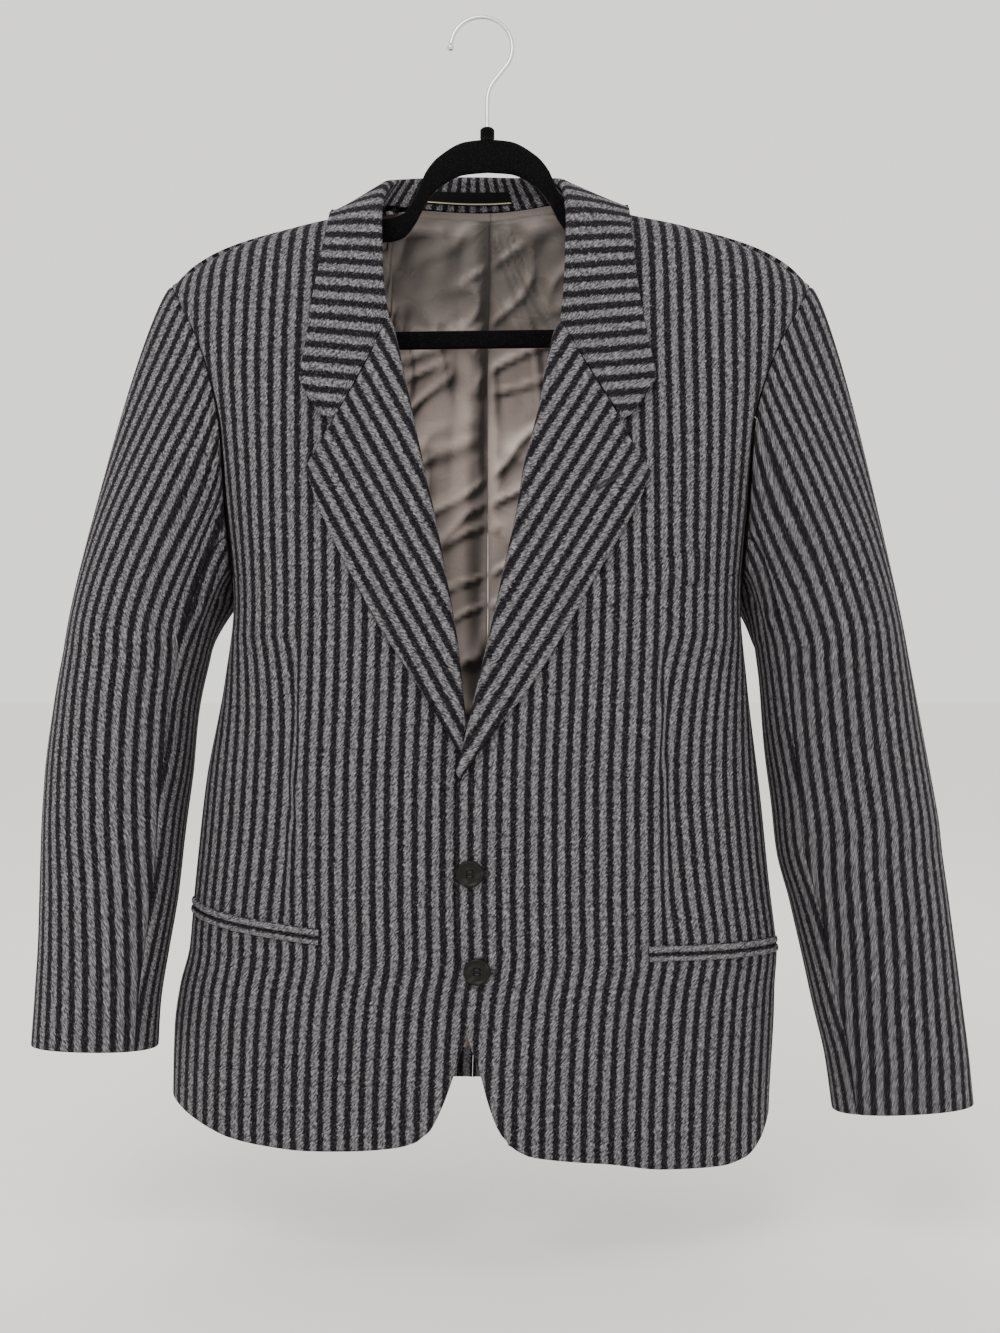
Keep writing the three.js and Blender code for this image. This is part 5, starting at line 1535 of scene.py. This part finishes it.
def fibre_group() -> bpy.types.NodeTree:
    """Short fibres on a plain finish: a mask and a relief, from Object coordinates."""
    inputs = {"Place": ("NodeSocketVector", None), "Size": ("NodeSocketFloat", 900.0)}
    tree = group("short_fibres", "ShaderNodeTree", inputs, {"Mask": "NodeSocketFloat", "Height": "NodeSocketFloat"})
    n = Nodes(tree)
    given, done = n.add("NodeGroupInput"), n.add("NodeGroupOutput")
    grain_noise = n.add(
        "ShaderNodeTexNoise",
        {"Vector": given.outputs["Place"], "Scale": given.outputs["Size"], "Detail": 3.0},
    ).outputs[0]
    tree.links.new(n.ramp(grain_noise, 0.5, 0.72), done.inputs["Mask"])
    tree.links.new(grain_noise, done.inputs["Height"])
    return tree


def principled(name: str, **values: object) -> tuple[bpy.types.Material, Nodes, bpy.types.Node]:
    """A material with one Principled shader, and the shader's own values."""
    material = bpy.data.materials.new(name)
    material.use_nodes = True
    shader = material.node_tree.nodes["Principled BSDF"]
    for label, value in values.items():
        shader.inputs[label.replace("_", " ")].default_value = value
    return material, Nodes(material.node_tree), shader


def raise_relief(
    n: Nodes, shader: bpy.types.Node, height: bpy.types.NodeSocket, strength: float, deep: float
) -> None:
    """Gives a shader the relief of a height."""
    bump = n.add("ShaderNodeBump", {"Strength": strength, "Distance": deep, "Height": height})
    n.tree.links.new(bump.outputs[0], shader.inputs["Normal"])


def speckle(
    n: Nodes, shader: bpy.types.Node, fibres: bpy.types.NodeTree, size: float, dark: Color, pale: Color
) -> bpy.types.NodeSocket:
    """Gives a shader two colours in short fibres, and returns the fibres' height."""
    place = n.add("ShaderNodeTexCoord").outputs["Object"]
    given = n.add("ShaderNodeGroup", {}, node_tree=fibres)
    n.tree.links.new(place, given.inputs["Place"])
    given.inputs["Size"].default_value = size
    n.tree.links.new(n.blend(given.outputs["Mask"], dark, pale), shader.inputs["Base Color"])
    return given.outputs["Height"]


@dataclass(frozen=True)
class TweedFinish:
    """Striped wool tweed."""

    name: str = "striped_tweed"
    light: Color = (0.116, 0.110, 0.120, 1)
    dark: Color = (0.0090, 0.0076, 0.0098, 1)
    pitch: float = STRIPE_PITCH
    light_width: float = 5.2
    shift: float = 0.0
    relief: float = 0.75
    relief_deep: float = 0.0011

    def make(self, weave: bpy.types.NodeTree) -> bpy.types.Material:
        """The material on the cloth's own UV map."""
        material, n, shader = principled(
            self.name, Roughness=0.95, Specular_IOR_Level=0.05, Sheen_Weight=0.025, Sheen_Roughness=0.6
        )
        shader.inputs["Sheen Tint"].default_value = (0.8, 0.8, 0.85, 1)
        uv = n.add("ShaderNodeUVMap", uv_map="cloth").outputs[0]
        twill = n.add("ShaderNodeGroup", node_tree=weave)
        n.tree.links.new(uv, twill.inputs["Cloth"])
        values = {
            "Light": self.light,
            "Dark": self.dark,
            "Pitch": self.pitch,
            "Light width": self.light_width,
            "Shift": self.shift,
        }
        for label, value in values.items():
            twill.inputs[label].default_value = value
        n.tree.links.new(twill.outputs["Color"], shader.inputs["Base Color"])
        raise_relief(n, shader, twill.outputs["Height"], self.relief, self.relief_deep)
        return material


@dataclass(frozen=True)
class SatinFinish:
    """The smooth lining."""

    name: str = "lining_satin"
    color: Color = (0.150, 0.124, 0.112, 1)
    roughness: float = 0.46

    def make(self) -> bpy.types.Material:
        """The material, with faint fine creases, and a colour made paler or darker by the painted light and shade on
        the points.
        """
        material, n, shader = principled(
            self.name, Roughness=self.roughness, Specular_IOR_Level=0.3, Sheen_Weight=0.2, Anisotropic=0.4
        )
        # Painted light and shade from the points' attribute scale the satin's colour.
        sheen = n.add("ShaderNodeAttribute", attribute_name="sheen").outputs["Fac"]
        tone = n.math("ADD", sheen, 1.0)
        grey = n.add("ShaderNodeCombineColor", {0: tone, 1: tone, 2: tone}).outputs[0]
        n.tree.links.new(n.blend(1.0, self.color, grey, "MULTIPLY"), shader.inputs["Base Color"])
        place = n.add("ShaderNodeTexCoord").outputs["Object"]
        creases = {"Vector": place, "Scale": 55.0, "Detail": 3.0, "Distortion": 1.2}
        raise_relief(n, shader, n.add("ShaderNodeTexNoise", creases).outputs[0], 0.5, 0.003)
        return material


@dataclass(frozen=True)
class FlockFinish:
    """Black flocking on the hanger."""

    name: str = "black_flock"
    dark: Color = (0.0022, 0.0022, 0.0024, 1)
    pale: Color = (0.008, 0.008, 0.009, 1)
    fibre_size: float = 900.0

    def make(self, fibres: bpy.types.NodeTree) -> bpy.types.Material:
        """The material on Object coordinates."""
        material, n, shader = principled(
            self.name, Roughness=1.0, Specular_IOR_Level=0.06, Sheen_Weight=0.05, Sheen_Roughness=0.4
        )
        height = speckle(n, shader, fibres, self.fibre_size, self.dark, self.pale)
        raise_relief(n, shader, height, 0.6, 0.0004)
        return material


@dataclass(frozen=True)
class PlainFinish:
    """A plain colour with its gloss."""

    name: str
    color: Color
    roughness: float
    metallic: float = 0.0
    specular: float = 0.5

    def make(self) -> bpy.types.Material:
        """The material."""
        material, _, _ = principled(
            self.name,
            Base_Color=self.color,
            Roughness=self.roughness,
            Metallic=self.metallic,
            Specular_IOR_Level=self.specular,
        )
        return material


@dataclass(frozen=True)
class HornFinish:
    """Dark mottled buttons."""

    name: str = "dark_button"
    dark: Color = (0.0035, 0.0035, 0.0026, 1)
    pale: Color = (0.014, 0.0135, 0.0095, 1)
    mottle_size: float = 210.0

    def make(self, fibres: bpy.types.NodeTree) -> bpy.types.Material:
        """The material on Object coordinates."""
        material, n, shader = principled(self.name, Roughness=0.38, Specular_IOR_Level=0.16)
        speckle(n, shader, fibres, self.mottle_size, self.dark, self.pale)
        return material


def stitch_tree() -> bpy.types.NodeTree:
    """Stitches on points: a short round thread along each point's own direction."""
    inputs = {
        "Points": ("NodeSocketGeometry", None),
        "Stitch length": ("NodeSocketFloat", 0.003),
        "Thread radius": ("NodeSocketFloat", 0.0003),
        "Finish": ("NodeSocketMaterial", None),
    }
    tree = group("stitches", "GeometryNodeTree", inputs, {"Threads": "NodeSocketGeometry"})
    n = Nodes(tree)
    given, done = n.add("NodeGroupInput"), n.add("NodeGroupOutput")
    thread = n.add("GeometryNodeMeshUVSphere", {"Segments": 6, "Rings": 5, "Radius": 1.0})
    along = n.add("GeometryNodeInputNamedAttribute", {"Name": "along"}, data_type="FLOAT_VECTOR")
    turn = n.add("FunctionNodeAlignRotationToVector", {"Vector": along.outputs["Attribute"]}, axis="Z")
    half = n.math("MULTIPLY", given.outputs["Stitch length"], 0.5)
    radius = given.outputs["Thread radius"]
    size = n.add("ShaderNodeCombineXYZ", {0: radius, 1: radius, 2: half})
    placed = n.add(
        "GeometryNodeInstanceOnPoints",
        {
            "Points": given.outputs["Points"],
            "Instance": thread.outputs["Mesh"],
            "Rotation": turn.outputs["Rotation"],
            "Scale": size.outputs[0],
        },
    )
    real = n.add("GeometryNodeRealizeInstances", {"Geometry": placed.outputs[0]})
    smooth_faces = n.add("GeometryNodeSetShadeSmooth", {"Geometry": real.outputs[0]})
    finish = {"Geometry": smooth_faces.outputs[0], "Material": given.outputs["Finish"]}
    dressed = n.add("GeometryNodeSetMaterial", finish)
    tree.links.new(dressed.outputs[0], done.inputs["Threads"])
    return tree


def wire_tree() -> bpy.types.NodeTree:
    """A round wire along a path of points."""
    inputs = {
        "Path": ("NodeSocketGeometry", None),
        "Wire radius": ("NodeSocketFloat", 0.0017),
        "Sides": ("NodeSocketInt", 20),
        "Finish": ("NodeSocketMaterial", None),
    }
    tree = group("wire", "GeometryNodeTree", inputs, {"Wire": "NodeSocketGeometry"})
    n = Nodes(tree)
    given, done = n.add("NodeGroupInput"), n.add("NodeGroupOutput")
    path = n.add("GeometryNodeMeshToCurve", {"Mesh": given.outputs["Path"]})
    circle = n.add(
        "GeometryNodeCurvePrimitiveCircle",
        {"Resolution": given.outputs["Sides"], "Radius": given.outputs["Wire radius"]},
        mode="RADIUS",
    )
    swept = n.add(
        "GeometryNodeCurveToMesh",
        {"Curve": path.outputs[0], "Profile Curve": circle.outputs[0], "Fill Caps": True},
    )
    smooth_faces = n.add("GeometryNodeSetShadeSmooth", {"Geometry": swept.outputs[0]})
    real = n.add("GeometryNodeRealizeInstances", {"Geometry": smooth_faces.outputs[0]})
    dressed = n.add("GeometryNodeSetMaterial", {"Geometry": real.outputs[0], "Material": given.outputs["Finish"]})
    tree.links.new(dressed.outputs[0], done.inputs["Wire"])
    return tree


def grown(
    name: str,
    tree: bpy.types.NodeTree,
    points: Array,
    values: dict[str, object],
    links: list[tuple[int, int]] | None = None,
    along: Array | None = None,
) -> bpy.types.Object:
    """Runs a node tree on points and keeps the result as a plain mesh.

    Args:
        name: the new piece's name.
        tree: the tree.
        points: its points in millimetres.
        values: the tree's inputs by name.
        links: edges between the points.
        along: a direction for each point.

    Returns:
        The new piece.
    """
    seed = bpy.data.meshes.new(name + "_seed")
    seed.from_pydata((np.asarray(points) * MM).tolist(), links or [], [])
    if along is not None:
        ways = seed.attributes.new("along", "FLOAT_VECTOR", "POINT")
        ways.data.foreach_set("vector", np.asarray(along, np.float32).ravel())
    holder = bpy.data.objects.new(name + "_seed", seed)
    bpy.context.scene.collection.objects.link(holder)
    modifier = holder.modifiers.new("grow", "NODES")
    modifier.node_group = tree
    for item in tree.interface.items_tree:
        if item.item_type == "SOCKET" and item.in_out == "INPUT" and item.name in values:
            modifier[item.identifier] = values[item.name]
    graph = bpy.context.evaluated_depsgraph_get()
    mesh = bpy.data.meshes.new_from_object(holder.evaluated_get(graph))
    mesh.name = name
    bpy.data.objects.remove(holder)
    piece = bpy.data.objects.new(name, mesh)
    bpy.context.scene.collection.objects.link(piece)
    return piece


def lathe(outline: list[tuple[float, float]], sides: int) -> tuple[Array, list[tuple[int, ...]]]:
    """A turned solid about Z from its outline.

    Args:
        outline: radius and height of its points, both ends on the axis.
        sides: how many sides it has.

    Returns:
        Its points and faces.
    """
    a = np.linspace(0, 2 * math.pi, sides, endpoint=False)
    points = [(0, 0, outline[0][1])]
    for r, h in outline[1:-1]:
        points += [(r * math.cos(k), r * math.sin(k), h) for k in a]
    points.append((0, 0, outline[-1][1]))
    rings, faces = len(outline) - 2, []
    for k in range(sides):
        j = (k + 1) % sides
        faces.append((0, 1 + j, 1 + k))
        for r in range(rings - 1):
            low, high = 1 + r * sides, 1 + (r + 1) * sides
            faces.append((low + k, low + j, high + j, high + k))
        last = 1 + (rings - 1) * sides
        faces.append((last + k, last + j, len(points) - 1))
    return np.array(points, float), faces


def frame_on(side: Side, x: float, z: float, off: float) -> tuple[Array, Array, Array, Array]:
    """A place on a front: its point, the way across, the way up and the way out."""
    xx, zz = np.array(x), np.array(z)
    t = angle_of(xx, zz, -1)
    point, out = front_at(side, t, zz), front_normal(side, t, zz)
    across = unit(np.array([1.0, 0, 0]) - out * out[0])
    return point + out * off, across, np.cross(out, across) * -1, out


@dataclass
class Buttons:
    """The two front buttons with their holes and thread, and the buttonholes."""

    places: tuple[tuple[str, float, float], ...] = (
        ("button_upper", -11.9, -659.0),
        ("button_lower", -6.8, -731.0),
    )
    radius: float = 10.0
    thick: float = 3.6
    sides: int = 48
    off: float = SEAM + 0.15
    well: float = 1.0
    well_radius: float = 4.6
    plate_half: float = 4.2
    hole_out: float = 2.28
    hole_radius: float = 0.95
    hole_soft: float = 0.25
    hole_deep: float = 1.4
    strands: tuple[float, ...] = (-0.32, 0.0, 0.32)
    thread_sunk: float = 0.85
    thread_radius: float = 0.24
    slit_length: float = 21.0
    slit_half: float = 1.15
    stitch_pitch: float = 0.62
    stitch_length: float = 2.1
    stitch_radius: float = 0.30

    def button(self, name: str, x: float, z: float, finish: bpy.types.Material) -> bpy.types.Object:
        """A button with a rim and four sunk holes."""
        sides, r, h, well = self.sides, self.radius, self.thick, self.thick - self.well
        outline = [(0, 0), (r - 1.4, 0), (r - 0.4, 0.5), (r, 1.3), (r, well), (r - 0.35, h - 0.3), (r - 1.1, h)]
        outline += [(r - 1.9, h - 0.15), (r - 2.6, h - 0.7), (r - 3.4, h - 0.95), (self.well_radius, well)]
        points, faces = lathe(outline + [(0, well)], sides)
        faces = [f for f in faces if len(points) - 1 not in f]
        points = points[:-1]
        rim = [1 + (len(outline) - 2) * sides + k for k in range(sides)]
        grid = np.linspace(-self.plate_half, self.plate_half, 33)
        gx, gy = np.meshgrid(grid, grid)
        disc = np.hypot(gx, gy)
        scale = np.maximum(np.abs(gx), np.abs(gy)) / np.maximum(disc, 1e-6)
        gx, gy = gx * scale, gy * scale
        depth = np.zeros_like(gx)
        for turn in (math.pi / 4, 3 * math.pi / 4, 5 * math.pi / 4, 7 * math.pi / 4):
            from_hole = np.hypot(gx - self.hole_out * math.cos(turn), gy - self.hole_out * math.sin(turn))
            hole = smooth(self.hole_radius + self.hole_soft, self.hole_radius - self.hole_soft, from_hole)
            depth = np.maximum(depth, self.hole_deep * hole)
        base = len(points)
        plate = np.stack((gx, gy, well - depth), -1).reshape(-1, 3)
        size = len(grid)
        index = base + np.arange(size * size).reshape(size, size)
        faces += [tuple(q) for q in grid_faces(index).tolist()]
        edge = list(index[0, :-1]) + list(index[:-1, -1]) + list(index[-1, :0:-1]) + list(index[:0:-1, 0])
        points = np.concatenate((points, plate))
        angle = [math.atan2(points[k][1], points[k][0]) % (2 * math.pi) for k in edge]
        start = int(np.argmin(angle))
        edge = edge[start:] + edge[:start]
        count = len(edge)
        for k in range(count):
            a, b = edge[k], edge[(k + 1) % count]
            ra, rb = rim[round(k * sides / count) % sides], rim[round((k + 1) * sides / count) % sides]
            faces.append((ra, rb, b, a) if ra != rb else (ra, b, a))
        origin, across, up, out = frame_on(Side.LEFT, x, z, self.off)
        placed = origin + points[:, :1] * across + points[:, 1:2] * up + points[:, 2:] * out
        return solid(name, placed, [tuple(int(i) for i in f) for f in faces], None, [finish])

    def thread(
        self, name: str, x: float, z: float, tree: bpy.types.NodeTree, finish: bpy.types.Material
    ) -> bpy.types.Object:
        """The thread through a button's holes, in two bars of three strands."""
        origin, across, up, out = frame_on(Side.LEFT, x, z, self.off + self.thick - self.thread_sunk)
        points, along = [], []
        reach = self.hole_out * math.cos(math.pi / 4)
        for row in (-1, 1):
            for strand in self.strands:
                points.append(origin + up * (row * reach + strand) + out * (0.12 if strand == 0 else 0))
                along.append(across)
        length = 2 * reach + 1.1
        values = {"Stitch length": length * MM, "Thread radius": self.thread_radius * MM, "Finish": finish}
        return grown(name, tree, np.array(points), values, along=np.array(along))

    def buttonhole(
        self, name: str, place: Callable[[Array, Array], Array], tree: bpy.types.NodeTree, finish: bpy.types.Material
    ) -> bpy.types.Object:
        """The stitches round a buttonhole.

        Args:
            name: the piece's name.
            place: gives points from distances along and across the slit.
            tree: the stitch tree.
            finish: the thread's material.

        Returns:
            The stitches.
        """
        half, wide = self.slit_length / 2, self.slit_half
        count = int(self.slit_length / self.stitch_pitch)
        a = np.linspace(-half, half, count)
        eye = np.linspace(-math.pi / 2, math.pi / 2, 7)[1:-1]
        along = np.concatenate((a, a, half + wide * np.cos(eye), -half - wide * np.cos(eye)))
        over = np.concatenate((0 * a + wide, 0 * a - wide, wide * np.sin(eye), wide * np.sin(eye)))
        points, inner = place(along, over), place(along * 0.98, over * 0.2)
        length, thick = self.stitch_length * MM, self.stitch_radius * MM
        values = {"Stitch length": length, "Thread radius": thick, "Finish": finish}
        return grown(name, tree, points, values, along=unit(points - inner))


@dataclass
class Hanger:
    """The flocked hanger and its wire hook."""

    half: float = 3.2
    tilt: float = 0.0135
    bar_z: float = -251.5
    bar_half: float = 160.0
    bar_high: float = 14.0
    bar_deep: float = 6.0
    bend: float = 34.0
    bar_up: float = -198.2
    hook_radius: float = 24.2
    wire: float = 1.7
    hook_x: float = -4.5
    hook_low: float = -85.3
    hook_start: float = 172.0
    hook_end: float = -28.0
    sides: int = 28

    def loft(
        self, name: str, centres: Array, across: Array, high: Array, deep: float, finish: bpy.types.Material
    ) -> bpy.types.Object:
        """A flat bar with rounded edges along a path in the XZ plane.

        Args:
            name: the piece's name.
            centres: points of the path.
            across: the way across the bar at each point.
            high: half its height at each point.
            deep: half its depth.
            finish: its material.

        Returns:
            The bar.
        """
        a = np.linspace(0, 2 * math.pi, self.sides, endpoint=False)
        c, d = np.cos(a), np.sin(a)
        r = (c**4 + d**4) ** -0.25
        rings = centres[:, None] + across[:, None] * (high[:, None] * r * c)[..., None]
        rings = rings + np.array([0, 1.0, 0]) * (deep * r * d)[None, :, None]
        count = len(centres)
        points = rings.reshape(-1, 3)
        index = np.arange(count * self.sides).reshape(count, self.sides)
        faces = [tuple(f) for f in grid_faces(np.concatenate((index, index[:, :1]), 1)).tolist()]
        faces.append(tuple(range(self.sides))[::-1])
        faces.append(tuple((count - 1) * self.sides + j for j in range(self.sides)))
        if np.cross(across[0], centres[1] - centres[0])[1] < 0:
            faces = [f[::-1] for f in faces]
        return solid(name, points, faces, None, [finish])

    def arms(self, finish: bpy.types.Material) -> bpy.types.Object:
        """The shaped arms."""
        reach = HANGER.column["x"][-1]
        x = np.linspace(-reach, reach, 141)
        top, low = HANGER.read("x", "top", np.abs(x)), HANGER.read("x", "low", np.abs(x))
        end = np.sqrt(np.clip((reach - np.abs(x)) / 5, 0.35, 1))
        up = np.broadcast_to(np.array([0, 0, 1.0]), (len(x), 3))
        path = pile(x, 0 * x, (top + low) / 2 + self.tilt * x)
        return self.loft("hanger_shape", path, up, (top - low) / 2 * end, self.half, finish)

    def bar(self, finish: bpy.types.Material) -> bpy.types.Object:
        """The trouser bar with its bent ends."""
        a = np.radians(np.linspace(0, 68, 9))
        x, z = self.bar_half + self.bend * np.sin(a), self.bar_z + self.bend * (1 - np.cos(a))
        rest = np.linspace(0.1, 1, 9)
        x = np.append(x, x[-1] + (self.bar_up - z[-1]) * 0.36 * rest)
        z = np.append(z, z[-1] + (self.bar_up - z[-1]) * rest)
        level = np.linspace(-self.bar_half, self.bar_half, 41)[1:-1]
        px = np.concatenate((-x[::-1], level, x))
        pz = np.concatenate((z[::-1], level * 0 + self.bar_z, z)) + self.tilt * px
        path = pile(px, 0 * px, pz)
        along = np.gradient(path, axis=0)
        across = unit(pile(-along[:, 2], 0 * px, along[:, 0]))
        slim = np.full(len(px), self.bar_high / 2)
        slim[[0, -1]] *= 0.7
        return self.loft("trouser_bar", path, across, slim, self.bar_deep / 2, finish)

    def hook(self, tree: bpy.types.NodeTree, finish: bpy.types.Material) -> bpy.types.Object:
        """The wire hook."""
        a = np.radians(np.linspace(self.hook_start, self.hook_end, 67))
        x = self.hook_x + self.hook_radius * np.cos(a)
        z = self.wire - self.hook_radius + self.hook_radius * np.sin(a)
        neck = np.array([(9.5, -43.5), (3.4, -51.5), (0.6, -59.0), (0.0, -68.0), (0.0, self.hook_low)])
        knots = np.concatenate((np.stack((x[-2:], z[-2:]), 1), neck))
        extra = []
        for k in range(1, len(knots) - 1):
            p0, p1, p2 = knots[k - 1], knots[k], knots[k + 1]
            p3 = knots[min(k + 2, len(knots) - 1)]
            for u in np.linspace(0, 1, 7)[1:]:
                extra.append(hermite(u, p1, p2, (p2 - p0) / 2 if k > 1 else (p1 - p0) * 4, (p3 - p1) / 2))
        extra = np.array(extra)
        px, pz = np.concatenate((x, extra[:, 0])), np.concatenate((z, extra[:, 1]))
        links = [(k, k + 1) for k in range(len(px) - 1)]
        values = {"Wire radius": self.wire * MM, "Sides": 20, "Finish": finish}
        return grown("wire_hook", tree, pile(px, 0 * px, pz), values, links=links)


@dataclass
class Studio:
    """The pale floor, the soft light and the camera."""

    floor_z: float = -960.0
    floor_size: float = 40.0
    camera: tuple[float, float, float] = (10.0, -1360.0, -508.0)
    lens: float = 46.8

    def floor(self) -> None:
        """A plain pale floor."""
        bpy.ops.mesh.primitive_plane_add(size=self.floor_size, location=(0, 0, self.floor_z * MM))
        floor = bpy.context.object
        floor.name = "floor"
        floor.data.materials.append(PlainFinish("pale_floor", (0.92, 0.905, 0.88, 1), 0.9).make())
        floor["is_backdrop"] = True

    def lamp(
        self,
        name: str,
        place: tuple[float, float, float],
        size: float,
        power: float,
        color: tuple[float, float, float],
    ) -> None:
        """A soft lamp aimed at the middle of the blazer."""
        light = bpy.data.lights.new(name, "AREA")
        light.size, light.energy, light.color = size, power, color
        lamp = bpy.data.objects.new(name, light)
        lamp.location = place
        aim = Vector((0, 0, -0.5)) - Vector(place)
        lamp.rotation_euler = aim.to_track_quat("-Z", "Y").to_euler()
        bpy.context.scene.collection.objects.link(lamp)

    def build(self) -> None:
        """Sets up the floor, the world, the lamps and the camera."""
        self.floor()
        world = bpy.data.worlds.new("pale_room")
        world.use_nodes = True
        world.node_tree.nodes["Background"].inputs["Color"].default_value = (0.945, 0.93, 0.905, 1)
        world.node_tree.nodes["Background"].inputs["Strength"].default_value = 1.5
        bpy.context.scene.world = world
        self.lamp("key", (-0.6, -2.1, 1.1), 1.2, 42.0, (1.0, 0.98, 0.95))
        self.lamp("fill", (1.7, -1.9, 0.1), 1.8, 4.0, (0.95, 0.97, 1.0))
        self.lamp("rim", (0.4, 1.8, 1.3), 1.5, 10.0, (1.0, 1.0, 1.0))
        lens = bpy.data.cameras.new("view")
        lens.lens, lens.sensor_width, lens.sensor_fit = self.lens, 36.0, "AUTO"
        lens.clip_start, lens.clip_end = 0.01, 50.0
        camera = bpy.data.objects.new("view", lens)
        camera.location = Vector(self.camera) * MM
        camera.rotation_euler = (math.pi / 2, 0, 0)
        bpy.context.scene.collection.objects.link(camera)
        bpy.context.scene.camera = camera


class Dresser:
    """Puts finished pieces on the part and says what they are."""

    def __init__(self) -> None:
        """Makes the finishes."""
        weave, fibres = weave_group(), fibre_group()
        self.fibres = fibres
        self.tweed = TweedFinish().make(weave)
        self.lining = SatinFinish().make()
        self.flock = FlockFinish().make(fibres)
        self.button = HornFinish().make(fibres)
        self.label = PlainFinish("label_black", (0.0042, 0.0038, 0.0038, 1), 0.85, specular=0.1).make()
        self.label_edge = PlainFinish("label_cream", (0.42, 0.36, 0.25, 1), 0.8, specular=0.3).make()
        self.thread = PlainFinish("dark_thread", (0.02, 0.019, 0.022, 1), 0.7, specular=0.3).make()
        self.chrome = PlainFinish("hook_chrome", (0.62, 0.63, 0.65, 1), 0.16, metallic=1.0).make()
        self.stitches, self.wires = stitch_tree(), wire_tree()

    def shell(self, panel: Panel, slot: str = "tweed", lined: bool = False) -> bpy.types.Object:
        """Builds a piece of cloth in place of its solid.

        Args:
            panel: the piece.
            slot: which finish it has: tweed, lining or label.
            lined: whether its inside shows the lining.

        Returns:
            The new piece.
        """
        finish = {"tweed": self.tweed, "lining": self.lining, "label": self.label}[slot]
        piece = panel.build([finish, self.lining] if lined else [finish])
        piece.name = piece.data.name = "cloth_" + panel.name
        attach(piece, "root")
        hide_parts(panel.name)
        log.info("%s", piece.name)
        return piece

    def border(self, label: bpy.types.Object, panel: Panel, low: float = 1.2, high: float = 2.2) -> None:
        """Gives the label the pale line along its lower edge."""
        label.data.materials.append(self.label_edge)
        layer = label.data.uv_layers["cloth"].data
        for face in label.data.polygons:
            up = np.mean([layer[k].uv[1] for k in face.loop_indices]) * UV_UNIT
            face.material_index = int(low < up - panel.cloth[..., 1].min() < high)

    def sheet(
        self, piece: bpy.types.Object, panel: Panel, *rests_on: str, laid: list[bpy.types.Object] | None = None
    ) -> None:
        """States the cut of a piece of cloth.

        Args:
            piece: the piece.
            panel: its grid.
            rests_on: what it hangs from or lies on; not used.
            laid: narrow strips that are sewn on it; not used.
        """
        flat, area = panel.cut()
        log.info("%s: cut %.3f x %.3f m, %.4f m2", piece.name, flat[0], flat[1], area)

    def hard(self, piece: bpy.types.Object, slot: str, *nodes: str) -> bpy.types.Object:
        """A piece that isn't cloth, in place of solids or beside them."""
        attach(piece, "root")
        if nodes:
            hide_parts(*nodes)
        log.info("%s", piece.name)
        return piece


def dress_cloth(dresser: Dresser) -> None:
    """Makes every piece of cloth."""
    trims, collar = Trims(), Collar()
    jets = [dresser.shell(panel) for panel in trims.jets()]
    welt = dresser.shell(trims.welt())
    for side in Side:
        body = Body(side)
        laid = [jet for jet in jets if jet.name.endswith(side.label)] + ([welt] if side is Side.LEFT else [])
        for panel in [body.front(), body.side_body(), body.back(), *Sleeve(side).panels()]:
            piece = dresser.shell(panel, lined=True)
            dresser.sheet(piece, panel, "hanger_shape", laid=laid if "front" in panel.name else None)
        panel = Lapel(side).panel()
        dresser.sheet(dresser.shell(panel), panel, "cloth_front_" + side.label)
        panel = BackLining(side).panel()
        dresser.sheet(dresser.shell(panel, "lining"), panel, "cloth_back_" + side.label)
    panel = collar.label()
    label = dresser.shell(panel, "label")
    dresser.border(label, panel)
    panel = collar.panel()
    dresser.sheet(dresser.shell(panel), panel, "cloth_back_left", "cloth_back_right", laid=[label])


def dress_buttons(dresser: Dresser) -> None:
    """Makes the buttons, their thread and the buttonholes."""
    buttons = Buttons()
    for name, x, z in buttons.places:
        dresser.hard(buttons.button("turned_" + name, x, z, dresser.button), "button", name)
        dresser.hard(buttons.thread("thread_" + name, x, z, dresser.stitches, dresser.thread), "tweed")
    for name, x, z in buttons.places:
        middle = frame_on(Side.LEFT, x - 0.5, z, 0.25)[0]

        def on_front(along: Array, over: Array) -> Array:
            """Points beside a slit on the front."""
            return over_front(Side.LEFT, middle[0] + along + 3.5, middle[2] + over, 0.15)

        slit = "buttonhole_" + name.split("_")[1]
        dresser.hard(buttons.buttonhole(slit, on_front, dresser.stitches, dresser.thread), "tweed")

    def on_lapel(along: Array, over: Array) -> Array:
        """Points beside the slit on the lapel."""
        centre, way = np.array([89.5, -372.0]), unit(np.array([0.83, 0.56]))
        flat = centre + along[..., None] * way + over[..., None] * np.array([-way[1], way[0]])
        return over_front(Side.LEFT, flat[..., 0], flat[..., 1], LAPEL_GAP + FACING + 0.15)

    dresser.hard(buttons.buttonhole("buttonhole_lapel", on_lapel, dresser.stitches, dresser.thread), "tweed")


def dress_hanger(dresser: Dresser, nodes: dict[str, bpy.types.Object]) -> None:
    """Makes the hanger and gives its small solids their finish."""
    hanger = Hanger()
    dresser.hard(hanger.arms(dresser.flock), "hanger_flock", "hanger_arms")
    dresser.hard(hanger.bar(dresser.flock), "hanger_flock", "hanger_bar")
    dresser.hard(hanger.hook(dresser.wires, dresser.chrome), "hook_wire", "hook")
    for node, finish in (("hook_tip", dresser.chrome), ("hook_boss", dresser.flock)):
        for slot in nodes[node].material_slots:
            slot.material = finish


def main(frame: dict[str, object], packed: object) -> None:
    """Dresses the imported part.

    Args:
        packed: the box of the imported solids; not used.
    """
    Studio().build()
    dresser = Dresser()
    dress_cloth(dresser)
    dress_buttons(dresser)
    dress_hanger(dresser, frame["nodes"])
    log.info("sizes kept")


if __name__ == "__main__":
    logging.basicConfig(level=logging.INFO, format="%(message)s")
    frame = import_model()
    main(frame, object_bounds())
